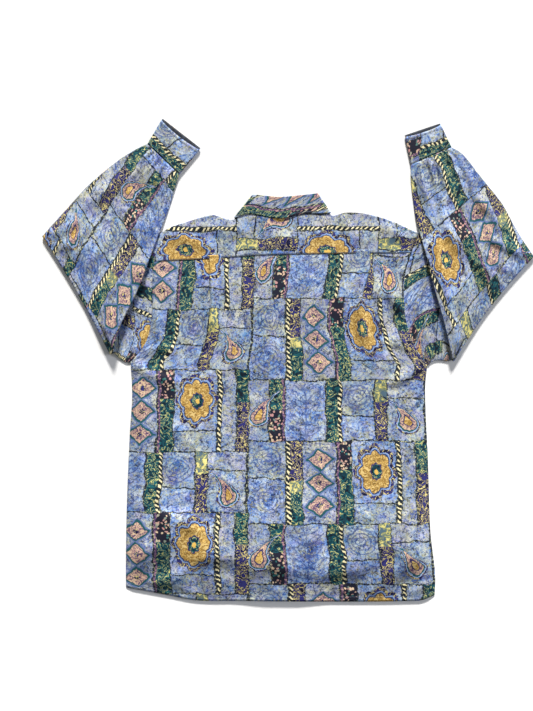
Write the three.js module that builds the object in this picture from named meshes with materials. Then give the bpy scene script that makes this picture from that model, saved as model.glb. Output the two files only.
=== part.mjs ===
import * as THREE from "three";

// A men's long-sleeved printed shirt, buttoned up and laid face down on a floor. Each sleeve is
// folded over at the elbow, so that its forearm lies on top and its cuff points past the shoulder.
// Millimetres: +X runs to the right as seen from above, +Y towards the collar, +Z up from the floor.
// Left and right are as seen from above, which are also the wearer's own.

// The cloth, and the heights of the middle of each layer above the floor.
const WALL = 1.1;
const SEAM = 0.3;
const STAND_INSET = 0.5; // the stand's edges stop this short of the neckline and of the fold
const NECK_GAP = 0.6; // between the stand's lower edge and the fronts
const YOKE_NECK_INSET = 2; // the yoke's shoulder folds end this far from the turn of the stand
const LAYER = WALL + SEAM;
const ON_FLOOR = WALL / 2;
const TUBE_HALF = 1.05; // from the middle plane of a flattened tube to the middle of its cloth
const TUBE_MIDDLE = ON_FLOOR + TUBE_HALF;
const BACK_LEVEL = TUBE_MIDDLE + TUBE_HALF;

// The neck: collar points on the floor, then fronts and stand, then yoke and stand, then the fall.
const STAND_HALF = 0.8;
const FRONT_AT_NECK = ON_FLOOR + LAYER;
const NECK_MIDDLE = FRONT_AT_NECK + STAND_HALF;
const BACK_AT_NECK = NECK_MIDDLE + STAND_HALF;
const FALL_HALF = NECK_MIDDLE - ON_FLOOR;
const ROLL = (FALL_HALF - STAND_HALF) / 2; // radius of the rolled edge at the top of the collar
const NECK_CENTRE = { x: -5, y: 275, reachX: 120, reachY: 95, fade: 1.35 };

// The buttons, with the cloth that rides over them.
const BUTTON = { diameter: 11.5, thick: 2, holes: 4, holeRadius: 0.9, holeSpread: 1.8, sides: 16 };
const CUFF_BUTTON_THICK = 1.8;
const FRONT_BUTTONS = { count: 7, first: 70, spacing: 92 };
const COLLAR_BUTTON_RISE = 15; // above the end of the placket
const CUFF_BUTTONS = { left: { x: -226, y: 437 }, right: { x: 272, y: 442 } };
const CENTRE_LINE = { top: -5, lean: 0.0137 };
const PLACKET_LAP = 6; // how much less far the right front laps than the placket
const PLACKET = { half: 16, ride: 20, slope: 60, wideRide: 25, wideSlope: 110 };
const PLACKET_LEVEL = BUTTON.thick + SEAM + WALL / 2;
const UNDER_PLACKET = PLACKET_LEVEL + LAYER;
const OVER_PLACKET = UNDER_PLACKET + LAYER;

// The outline of the body. Each course gives a value against a place, as rows of [place, value].
const UNDERARM = { left: { x: -326, y: -2 }, right: { x: 290, y: -8 } };
const SHOULDER = { left: { x: -267, y: 262 }, right: { x: 271, y: 264 } };
const sideLeft = course([[-498, -335], [-435, -336], [-300, -334], [-154, -328], [-70, -323], [-2, -326]]);
const sideRight = course([[-498, 305], [-445, 307], [-352, 297], [-206, 292], [-60, 286], [-8, 290]]);
const armholeLeft = course([[-2, -326], [21, -305], [50, -290], [96, -282], [179, -280], [262, -267]]);
const armholeRight = course([[-8, 290], [19, 271], [54, 255], [96, 244], [179, 244], [264, 271]]);
const hem = course([[-335, -470], [-253, -485], [-188, -497], [-99, -498], [270, -498], [307, -486]]);
const HEM_ENDS = { left: -335, right: 305 };
const yokeSeam = course([[-278, 207], [-149, 213], [-63, 219], [109, 223], [254, 225]]);
const YOKE_ENDS = { left: 207, right: 225 };

// The shoulders from the armhole to the neck, and the seams on the fronts that mirror them.
const NECK = { left: { x: -87, y: 313 }, right: { x: 76, y: 312 } };
const shoulderLeft = course([
  [-267, 262], [-242, 277], [-205, 289], [-155, 302], [-128, 294], [-109, 294], [-87, 313],
]);
const shoulderRight = course([
  [76, 312], [91, 301], [120, 307], [151, 306], [178, 301], [217, 289], [271, 264],
]);
const frontSeamLeft = course([[-277, 222], [-180, 255], [-79, 273]]);
const frontSeamRight = course([[68, 272], [170, 262], [255, 228]]);
const FRONT_SEAM_ENDS = { left: 222, right: 228 };
const FRONT_NECK_DEPTH = 231; // where the neckline meets the placket
const RIDE_END = { from: 308, to: 264 }; // where the back comes down from over the buttons to the neck
const NECK_RIDE_END = { from: 284, to: 264 };
const FALL_RIDE = 1.3; // the fall rises a little more than the back under it
const SIDE_DROP = { across: 14, from: -4, to: -34 }; // the back comes down to the front at the side seams
const LOOSE_FROM = { side: 20, hem: 58 }; // how far in from the edges the folds have their full height

// The collar's lines across the back, and each front half from the turn of the collar inwards.
const neckBack = course([[-87, 313], [-53, 307], [-5, 305], [43, 308], [76, 312]]);
const foldBack = course([[-70, 345], [-19, 340], [26, 343], [61, 347]]);
const edgeBack = course([[-109, 297], [-82, 305], [-32, 297], [-9, 296], [29, 304], [88, 307]]);
const COLLAR = {
  left: {
    neck: path([[-87, 313], [-76, 268], [-43, 237], [5, 231]]),
    fold: path([[-70, 345], [-53, 306], [-20, 268], [5, 262]]),
    edge: path([[-109, 297], [-84, 245], [-53, 198]]),
  },
  right: {
    neck: path([[76, 312], [66, 268], [33, 237], [-15, 231]]),
    fold: path([[61, 347], [43, 306], [10, 268], [-15, 262]]),
    edge: path([[88, 307], [74, 245], [43, 198]]),
  },
};
const FOLD_BACK = { left: -70, right: 61 };
const EDGE_BACK = { left: -109, right: 88 };
const LEAF_END = 0.8; // where the fall ends, as a share of the fold line from the turn to the stand's end
const SEAM_ON_NECKLINE = 0.3; // where the front seam of the yoke meets the neckline, as a share of it

// Side pleats under the yoke: the line that each lies on, where it is deepest and where it ends, the
// height of its step, and how far inwards the raised cloth runs out.
const PLEATS = [
  { x: -163, top: 180, end: -10, step: 2.0, spread: 34 },
  { x: 172, top: 193, end: 60, step: 2.0, spread: 34 },
];

// Soft folds of the back: a ridge from one point to another, its half width and its height.
const BACK_FOLDS = [
  { x1: -280, y1: -302, x2: -188, y2: -312, width: 17, height: 1.4 },
  { x1: -222, y1: -408, x2: -118, y2: -424, width: 16, height: 1.3 },
  { x1: 190, y1: -470, x2: 276, y2: -415, width: 18, height: 1.3 },
  { x1: 212, y1: 180, x2: 246, y2: 60, width: 14, height: 1.2 },
  { x1: -276, y1: 120, x2: -262, y2: -120, width: 18, height: 1.0 },
];

// Sleeves: the edges of the forearm from the elbow to the cuff seam, outer edge and inner edge, the
// edge under the arm from the armhole to the crook, how round the fold is at the crook, how far the
// fold bows inwards between the elbow and the crook, and how much wider the tube stands open there.
const FOLD_RADIUS = 2.2;
const ARM_SEAM = 0.42; // the gap of the seams at the armhole and the cuff
const EDGE_CLEARANCE = 0.5; // how much wider the armhole seam's gap is round the sleeve's edges
const SLEEVES = {
  left: {
    outer: [[-509, 258], [-459, 314], [-413, 364], [-353, 414], [-313, 439], [-290, 449]],
    inner: [[-369, 15], [-348, 75], [-307, 158], [-269, 262], [-249, 314], [-234, 364], [-226, 388]],
    under: [[-326, -2], [-338, -2], [-353, 3], [-369, 15]],
    cuffEnd: { outer: [-261, 499], inner: [-184, 439] },
    crookRadius: 5,
    creaseBow: 4,
    open: 1.4,
  },
  right: {
    outer: [[511, 216], [479, 264], [444, 327], [405, 376], [365, 426], [339, 443]],
    inner: [[346, 0], [326, 79], [305, 150], [284, 233], [267, 302], [258, 376], [258, 408]],
    under: [[290, -8], [307, 6], [326, 9], [346, 0]],
    cuffEnd: { outer: [317, 489], inner: [246, 465] },
    crookRadius: 3.6,
    creaseBow: 8,
    open: 0.4,
  },
};
const SLEEVE_ROWS = { upper: 7, bend: 6, fore: 13 };
const SLEEVE_DROP = { from: 4, to: 64 }; // how the forearm comes down to the floor past the shoulder
const CUFF = { wall: 1.5, half: 1.15, rows: 4, across: 9, underLap: 4, puff: 1.0 };
const CUFF_MIDDLE = CUFF_BUTTON_THICK + SEAM + CUFF.wall / 2 + CUFF.half;
const SLEEVE_PUFF = 1.4; // how far the upper cloth of the forearm stands up along its middle
const PUFF_ENDS = { elbow: 0.25, cuff: 0.8 }; // shares of the forearm between which it is full
const CUFF_RISE = 0.72; // the share of the forearm from which it rises to the cuff
const CROOK_FROM = 0.55; // the share across the sleeve from which the fold gets rounder
const OPEN_REACH = 0.5; // how far from the fold the tube stands open, as a share of each stretch

// Grid steps shared by the pieces that meet at an armhole.
const YOKE_BACK_ROWS = [0, 0.4, 0.75, 1];
const YOKE_FRONT_ROWS = [0, 0.5, 1];
const ARMHOLE_CELLS = 7;
const SIDE_CELLS = 14;
const NECK_CELLS = 8;
const TURN_CELLS = 4;

// Colours of the dyed cloth and of the buttons.
const CLOTH_BLUE = 0x7f8cab;
const CLOTH_DUSK = 0x717d9c;
const BUTTON_BLUE = 0x39455f;
const MATT = 0.85;
const GLOSSY = 0.35;

function lerp(a, b, t) {
  return a + (b - a) * t;
}

function smooth(from, to, value) {
  const t = Math.min(Math.max((value - from) / (to - from), 0), 1);
  return t * t * (3 - 2 * t);
}

// A smooth line through rows of [place, value], level beyond its ends.
function course(rows) {
  const last = rows.length - 1;
  const slope = (k) => {
    const [before, after] = [rows[Math.max(k - 1, 0)], rows[Math.min(k + 1, last)]];
    return (after[1] - before[1]) / (after[0] - before[0]);
  };
  return (place) => {
    if (place <= rows[0][0]) return rows[0][1];
    if (place >= rows[last][0]) return rows[last][1];
    const k = rows.findIndex((row, index) => index < last && place <= rows[index + 1][0]);
    const width = rows[k + 1][0] - rows[k][0];
    const t = (place - rows[k][0]) / width;
    const rest = 1 - t;
    return (
      rows[k][1] * (1 + 2 * t) * rest * rest + slope(k) * width * t * rest * rest +
      rows[k + 1][1] * (3 - 2 * t) * t * t - slope(k + 1) * width * t * t * rest
    );
  };
}

// A smooth path through points on the floor plan, read by the share of its length from 0 to 1.
function path(points) {
  const curve = new THREE.SplineCurve(points.map(([x, y]) => new THREE.Vector2(x, y)));
  return (share) => curve.getPointAt(Math.min(Math.max(share, 0), 1));
}

// The closed wall of a piece of cloth. mid(i, j) gives the middle of the cloth at column i and row
// j. A round piece joins its last column to its first, and keep says which cells the piece has.
function clothWall(columns, rows, mid, { round = false, keep = () => true, wall = WALL } = {}) {
  const width = round ? columns : columns + 1;
  const at = (i, j) => (i % width) + j * width;
  const points = [];
  for (let j = 0; j <= rows; j++) {
    for (let i = 0; i < width; i++) points.push(mid(i, j));
  }
  const cells = [];
  for (let j = 0; j < rows; j++) {
    for (let i = 0; i < columns; i++) {
      if (keep(i, j)) cells.push([at(i, j), at(i + 1, j), at(i + 1, j + 1), at(i, j + 1)]);
    }
  }
  const normals = points.map(() => new THREE.Vector3());
  const edges = new Map();
  for (const cell of cells) {
    const [a, b, c, d] = cell.map((k) => points[k]);
    const face = new THREE.Vector3().crossVectors(c.clone().sub(a), d.clone().sub(b));
    cell.forEach((k, corner) => {
      normals[k].add(face);
      const next = cell[(corner + 1) % 4];
      if (!edges.delete(next + ">" + k)) edges.set(k + ">" + next, [k, next]);
    });
  }
  const count = points.length;
  const positions = [];
  for (const side of [1, -1]) {
    points.forEach((point, k) => {
      const out = normals[k].clone().normalize().multiplyScalar((side * wall) / 2);
      positions.push(...point.clone().add(out).toArray());
    });
  }
  const faces = [];
  for (const [a, b, c, d] of cells) {
    const [e, f, g, h] = [a + count, b + count, c + count, d + count];
    faces.push([a, b, c], [a, c, d], [g, f, e], [h, g, e]);
  }
  for (const [a, b] of edges.values()) faces.push([b, a, count + a], [b, count + a, count + b]);
  return closedGeometry(positions, faces);
}

// A geometry from positions and triangles, with its faces turned outwards.
function closedGeometry(positions, faces) {
  const corner = (k) => new THREE.Vector3().fromArray(positions, 3 * k);
  const volume = faces.reduce((sum, [a, b, c]) => sum + corner(a).dot(corner(b).cross(corner(c))), 0);
  const index = faces.flatMap(([a, b, c]) => (volume > 0 ? [a, b, c] : [a, c, b]));
  const geometry = new THREE.BufferGeometry();
  geometry.setAttribute("position", new THREE.Float32BufferAttribute(positions, 3));
  geometry.setIndex(index);
  return geometry;
}

// The line of the placket and the buttons, which leans a little.
function centreX(y) {
  return CENTRE_LINE.top - CENTRE_LINE.lean * (FRONT_NECK_DEPTH - y);
}

function nearPlacket(x, y, flat, slope) {
  return smooth(slope, flat, Math.abs(x - centreX(y)));
}

function nearNeck(x, y) {
  const c = NECK_CENTRE;
  return smooth(c.fade, 1, Math.hypot((x - c.x) / c.reachX, (y - c.y) / c.reachY));
}

function frontLevel(x, y) {
  return lerp(ON_FLOOR, FRONT_AT_NECK, nearNeck(x, y));
}

function leftFrontLevel(x, y) {
  return lerp(frontLevel(x, y), PLACKET_LEVEL, nearPlacket(x, y, PLACKET.ride, PLACKET.slope));
}

function rightFrontLevel(x, y) {
  return lerp(frontLevel(x, y), UNDER_PLACKET, nearPlacket(x, y, PLACKET.ride, PLACKET.slope));
}

function foldHeight(fold, x, y) {
  const [dx, dy] = [fold.x2 - fold.x1, fold.y2 - fold.y1];
  const length = Math.hypot(dx, dy);
  const along = ((x - fold.x1) * dx + (y - fold.y1) * dy) / length;
  const across = ((x - fold.x1) * dy - (y - fold.y1) * dx) / length;
  const ends = smooth(-fold.width, fold.width, Math.min(along, length - along));
  return fold.height * ends * Math.exp(-((across / fold.width) ** 2));
}

// The cloth on the centre side of a pleat stands a step higher, and falls back to level.
function pleatHeight(pleat, x, y) {
  const inward = (x - pleat.x) * -Math.sign(pleat.x);
  if (inward < 0) return 0;
  return pleat.step * smooth(pleat.end, pleat.top, y) * Math.exp(-((inward / pleat.spread) ** 2));
}

// The middle of the back and the yoke above the floor.
function backLevel(x, y) {
  const belowNeck = smooth(RIDE_END.from, RIDE_END.to, y);
  const overButtons = nearPlacket(x, y, PLACKET.wideRide, PLACKET.wideSlope) * belowNeck;
  const plain = lerp(BACK_LEVEL, BACK_AT_NECK, nearNeck(x, y));
  const toSide = Math.min(x - sideLeft(y), sideRight(y) - x);
  const atSide = smooth(SIDE_DROP.across, 0, toSide) * smooth(SIDE_DROP.from, SIDE_DROP.to, y);
  const folds = BACK_FOLDS.reduce((sum, fold) => sum + foldHeight(fold, x, y), 0);
  const loose = smooth(0, LOOSE_FROM.side, toSide) * smooth(0, LOOSE_FROM.hem, y - hem(x));
  return lerp(plain, OVER_PLACKET, overButtons) - atSide * (BACK_LEVEL - FRONT_AT_NECK) + folds * loose;
}

// Columns across a panel, as places from 0 to 1 in each band between two lines.
function bands(...lists) {
  return lists.flatMap((list, band) => list.map((place) => ({ band, place })));
}

// The two pleats split the back into three bands, with close columns along each pleat.
const BACK_COLUMNS = bands(
  [0, 0.05, 0.26, 0.5, 0.75, 0.92, 0.992],
  [0.004, 0.05, 0.12, 0.21, 0.31, 0.41, 0.5, 0.59, 0.69, 0.79, 0.88, 0.95, 0.996],
  [0.012, 0.12, 0.32, 0.55, 0.8, 0.95, 1],
);

function backPanel() {
  const rows = SIDE_CELLS + ARMHOLE_CELLS;
  const edgeX = (side, j) => {
    if (j <= SIDE_CELLS) {
      const hemY = hem(HEM_ENDS[side]);
      const y = lerp(hemY, UNDERARM[side].y, j / SIDE_CELLS);
      return side === "left" ? sideLeft(y) : sideRight(y);
    }
    const y = lerp(UNDERARM[side].y, YOKE_ENDS[side], (j - SIDE_CELLS) / ARMHOLE_CELLS);
    return side === "left" ? armholeLeft(y) : armholeRight(y);
  };
  const columnX = ({ band, place }, j) => {
    const lines = [edgeX("left", j), PLEATS[0].x, PLEATS[1].x, edgeX("right", j)];
    return lerp(lines[band], lines[band + 1], place);
  };
  const mid = (i, j) => {
    const column = BACK_COLUMNS[i];
    const x = columnX(column, j);
    const across = smooth(sideLeft(0), sideRight(0), x);
    const underarmY = lerp(UNDERARM.left.y, UNDERARM.right.y, across);
    const y = j <= SIDE_CELLS
      ? lerp(hem(columnX(column, 0)), underarmY, j / SIDE_CELLS)
      : lerp(underarmY, yokeSeam(columnX(column, rows)) - SEAM, (j - SIDE_CELLS) / ARMHOLE_CELLS);
    const pleats = PLEATS.reduce((sum, pleat) => sum + pleatHeight(pleat, x, y), 0);
    return new THREE.Vector3(x, y, backLevel(x, y) + pleats);
  };
  return clothWall(BACK_COLUMNS.length - 1, rows, mid);
}

// The neckline of a front, moved off the stand of the collar.
function neckEdge(side, share) {
  const line = COLLAR[side].neck;
  const way = line(share + 0.02).sub(line(share - 0.02)).normalize();
  const away = new THREE.Vector2(-way.y, way.x).multiplyScalar(side === "left" ? -NECK_GAP : NECK_GAP);
  return line(share).add(away);
}

// The share of a path where it comes to a given x.
function shareAtX(line, x) {
  let [low, high] = [0, 1];
  const rising = line(1).x > line(0).x;
  for (let step = 0; step < 20; step++) {
    const middle = (low + high) / 2;
    if (line(middle).x < x === rising) low = middle;
    else high = middle;
  }
  return low;
}

// The yoke runs up the back to the neckline, and at each shoulder folds over to the front seam.
const SHOULDER_PLACES = [0, 0.14, 0.29, 0.44, 0.59, 0.74, 0.91, 1];
const YOKE_COLUMNS = [
  ...SHOULDER_PLACES.map((place) => ({ part: "left", place })),
  ...Array.from({ length: NECK_CELLS - 1 }, (_, k) => ({ part: "neck", place: (k + 1) / NECK_CELLS })),
  ...SHOULDER_PLACES.map((place) => ({ part: "right", place: 1 - place })).reverse(),
];

function yoke() {
  const backRows = YOKE_BACK_ROWS.length - 1;
  const frontRows = YOKE_FRONT_ROWS.length - 1;
  const neckX = { left: NECK.left.x - YOKE_NECK_INSET, right: NECK.right.x + YOKE_NECK_INSET };
  const topEdge = (x) => {
    if (x <= neckX.left) return shoulderLeft(x);
    return x >= neckX.right ? shoulderRight(x) : neckBack(x);
  };
  const armholeX = (side, from, to, share) =>
    (side === "left" ? armholeLeft : armholeRight)(lerp(from[side], to[side], share));
  const shoulderY = { left: SHOULDER.left.y, right: SHOULDER.right.y };
  const backX = ({ part, place }, up) => {
    if (part === "neck") return lerp(neckX.left, neckX.right, place);
    return lerp(armholeX(part, YOKE_ENDS, shoulderY, up), neckX[part], part === "left" ? place : 1 - place);
  };
  const frontPoint = ({ part, place }, top, down) => {
    const across = part === "left" ? place : 1 - place;
    const inner = neckEdge(part, SEAM_ON_NECKLINE * down);
    const outerX = (share) => armholeX(part, shoulderY, FRONT_SEAM_ENDS, share);
    const x = lerp(outerX(down), lerp(neckX[part], inner.x, down), across);
    const seamX = lerp(outerX(1), neckEdge(part, SEAM_ON_NECKLINE).x, across);
    const seamY = (part === "left" ? frontSeamLeft : frontSeamRight)(seamX) + SEAM;
    return new THREE.Vector2(x, lerp(top.y, seamY, down));
  };
  const mid = (i, j) => {
    const column = YOKE_COLUMNS[i];
    const top = new THREE.Vector2(backX(column, 1), topEdge(backX(column, 1)));
    const seam = new THREE.Vector2(backX(column, 0), yokeSeam(backX(column, 0)));
    if (j <= backRows) {
      const up = YOKE_BACK_ROWS[j];
      const [x, y] = [backX(column, up), lerp(seam.y, top.y, up)];
      return new THREE.Vector3(x, y, backLevel(x, y));
    }
    if (j <= backRows + TURN_CELLS) {
      const turn = (Math.PI * (j - backRows)) / TURN_CELLS;
      const radius = (backLevel(top.x, top.y) - frontLevel(top.x, top.y)) / 2;
      const out = top.clone().sub(seam).normalize().multiplyScalar(radius * Math.sin(turn)).add(top);
      return new THREE.Vector3(out.x, out.y, frontLevel(top.x, top.y) + radius * (1 + Math.cos(turn)));
    }
    if (column.part === "neck") return new THREE.Vector3(top.x, top.y, 0);
    const { x, y } = frontPoint(column, top, YOKE_FRONT_ROWS[j - backRows - TURN_CELLS]);
    return new THREE.Vector3(x, y, frontLevel(x, y));
  };
  const shoulderCells = SHOULDER_PLACES.length - 1;
  const keep = (i, j) => j < backRows || i < shoulderCells || i >= YOKE_COLUMNS.length - 1 - shoulderCells;
  return clothWall(YOKE_COLUMNS.length - 1, backRows + TURN_CELLS + frontRows, mid, { keep });
}

// Each front runs from its side seam to the placket, the right one on under the placket.
const FRONT_COLUMNS = bands([0, 0.07, 0.3, 0.55, 0.78, 0.93], [0, 0.2, 0.4, 0.6, 0.75, 0.88, 1]);

function frontPanel(side) {
  const left = side === "left";
  const sideRows = SIDE_CELLS / 2;
  const rows = sideRows + ARMHOLE_CELLS;
  const level = left ? leftFrontLevel : rightFrontLevel;
  const placketX = (y) => centreX(y) + (left ? -PLACKET.half - 2 * SEAM : PLACKET_LAP - PLACKET.half);
  const lastShare = shareAtX(COLLAR[side].neck, placketX(FRONT_NECK_DEPTH));
  const yAlong = (bottom, middle, top, j) =>
    j <= sideRows ? lerp(bottom, middle, j / sideRows) : lerp(middle, top, (j - sideRows) / ARMHOLE_CELLS);
  const edgeX = (j) => {
    const y = yAlong(hem(HEM_ENDS[side]), UNDERARM[side].y, FRONT_SEAM_ENDS[side], j);
    if (j <= sideRows) return left ? sideLeft(y) : sideRight(y);
    return left ? armholeLeft(y) : armholeRight(y);
  };
  const seamEnd = neckEdge(side, SEAM_ON_NECKLINE).x;
  const topEdge = ({ band, place }) => {
    if (band === 1) return neckEdge(side, lerp(SEAM_ON_NECKLINE, lastShare, place));
    const x = lerp(edgeX(rows), seamEnd, place);
    return { x, y: (left ? frontSeamLeft : frontSeamRight)(x) - SEAM };
  };
  const straightX = ({ band, place }, j) => {
    const y = yAlong(hem(0), UNDERARM[side].y, FRONT_NECK_DEPTH, j);
    const lines = [edgeX(j), seamEnd, placketX(y)];
    return lerp(lines[band], lines[band + 1], place);
  };
  const mid = (i, j) => {
    const column = FRONT_COLUMNS[i];
    const top = topEdge(column);
    const x = straightX(column, j) + (top.x - straightX(column, rows)) * (j / rows) ** 6;
    const y = yAlong(hem(straightX(column, 0)), UNDERARM[side].y, top.y, j);
    return new THREE.Vector3(x, y, level(x, y));
  };
  return clothWall(FRONT_COLUMNS.length - 1, rows, mid);
}

// The band that the buttons close on, lying on the buttons.
function placket() {
  const rows = 12;
  const mid = (i, j) => {
    const y = lerp(hem(0), FRONT_NECK_DEPTH - SEAM, j / rows);
    return new THREE.Vector3(centreX(y) + (i - 1) * PLACKET.half, y, PLACKET_LEVEL);
  };
  return clothWall(2, rows, mid);
}

// Columns round the neck, from the wearer's left end over the back to the right end. Each has the
// part that it is on, its place along that part, and the way out of the flattened neck there.
const LEAF_SHARES = Array.from({ length: 7 }, (_, k) => (LEAF_END * k) / 6);
const STAND_SHARES = [...LEAF_SHARES, (1 + LEAF_END) / 2, 1];
const TURN_OUT = { left: new THREE.Vector3(-0.84, 0.54, 0), right: new THREE.Vector3(0.84, 0.54, 0) };

function neckColumns(frontShares) {
  const up = new THREE.Vector3(0, 0, 1);
  const front = (part) => frontShares.map((place) => ({ part, place, out: up.clone().negate() }));
  const turn = (part) =>
    Array.from({ length: TURN_CELLS - 1 }, (_, k) => {
      const angle = (Math.PI * (k + 1)) / TURN_CELLS;
      const out = TURN_OUT[part].clone().multiplyScalar(Math.sin(angle));
      return { part, place: 0, out: out.addScaledVector(up, Math.cos(angle)) };
    });
  const backPlaces = Array.from({ length: NECK_CELLS + 1 }, (_, k) => k / NECK_CELLS);
  const back = backPlaces.map((place) => ({ part: "back", place, out: up }));
  const leftHalf = [...front("left").reverse(), ...turn("left").reverse()];
  return [...leftHalf, ...back, ...turn("right"), ...front("right")];
}

function backPoint(ends, line, place) {
  const x = lerp(ends.left, ends.right, place);
  return new THREE.Vector2(x, line(x));
}

// How far the front of the collar rides up where the stand's ends lap over the collar button.
function neckRide(part, { x, y }) {
  if (part === "back") return backLevel(x, y) - lerp(BACK_LEVEL, BACK_AT_NECK, nearNeck(x, y));
  const level = part === "left" ? leftFrontLevel : rightFrontLevel;
  return (level(x, y) - frontLevel(x, y)) * smooth(NECK_RIDE_END.from, NECK_RIDE_END.to, y);
}

function collarStand() {
  const columns = neckColumns(STAND_SHARES);
  const rows = 2;
  const neckEnds = { left: NECK.left.x, right: NECK.right.x };
  const mid = (i, j) => {
    const { part, place, out } = columns[i];
    const neck = part === "back" ? backPoint(neckEnds, neckBack, place) : COLLAR[part].neck(place);
    const fold = part === "back" ? backPoint(FOLD_BACK, foldBack, place) : COLLAR[part].fold(place);
    const inset = fold.clone().sub(neck).normalize().multiplyScalar(STAND_INSET);
    const flat = neck.add(inset).lerp(fold.sub(inset), j / rows);
    const point = new THREE.Vector3(flat.x, flat.y, NECK_MIDDLE + neckRide(part, flat));
    return point.addScaledVector(out, STAND_HALF);
  };
  return clothWall(columns.length - 1, rows, mid);
}

// The fall rolls over the top of the stand and lies on the yoke, and its points under the fronts.
function collarFall() {
  const columns = neckColumns(LEAF_SHARES);
  const flatRows = 4;
  const mid = (i, j) => {
    const { part, place, out } = columns[i];
    const fold = part === "back" ? backPoint(FOLD_BACK, foldBack, place) : COLLAR[part].fold(place);
    const share = place / LEAF_END;
    const edge = part === "back" ? backPoint(EDGE_BACK, edgeBack, place) : COLLAR[part].edge(share);
    const roll = (Math.PI * Math.min(j, TURN_CELLS)) / TURN_CELLS;
    const down = Math.max(j - TURN_CELLS, 0) / flatRows;
    const past = fold.clone().sub(edge).normalize().multiplyScalar(ROLL * Math.sin(roll));
    const flat = fold.clone().lerp(edge, down).add(past);
    const ride = neckRide(part, flat) * (part === "back" ? FALL_RIDE : 1 - smooth(0, LEAF_END, down));
    const point = new THREE.Vector3(flat.x, flat.y, NECK_MIDDLE + ride);
    return point.addScaledVector(out, STAND_HALF + ROLL * (1 - Math.cos(roll)));
  };
  return clothWall(columns.length - 1, TURN_CELLS + flatRows, mid);
}

// Columns round a flattened tube: across its lower layer, round one edge, back across its upper
// layer, and round the other edge. share runs across the tube, height is -1 to 1, and reach is how
// far the round edge stands out past the share 0 or 1.
function tubeColumns(lowerShares, upperShares) {
  const columns = lowerShares.map((share) => ({ share, height: -1, reach: 0 }));
  const round = (share, from) => {
    for (let k = 1; k < TURN_CELLS; k++) {
      const angle = from * (Math.PI * k) / TURN_CELLS;
      columns.push({ share, height: -from * Math.cos(angle), reach: Math.sin(angle) });
    }
  };
  round(1, 1);
  for (const share of [...upperShares].reverse()) columns.push({ share, height: 1, reach: 0 });
  round(0, -1);
  return columns;
}

// The places down an armhole where the rows of the yoke and of the panel below it end.
function armholeShares(yokePlaces, seamShare) {
  const below = Array.from({ length: ARMHOLE_CELLS }, (_, k) => (k + 1) / ARMHOLE_CELLS);
  const above = yokePlaces.map((place) => seamShare * place);
  return [...above, ...below.map((place) => lerp(seamShare, 1, place))];
}

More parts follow.
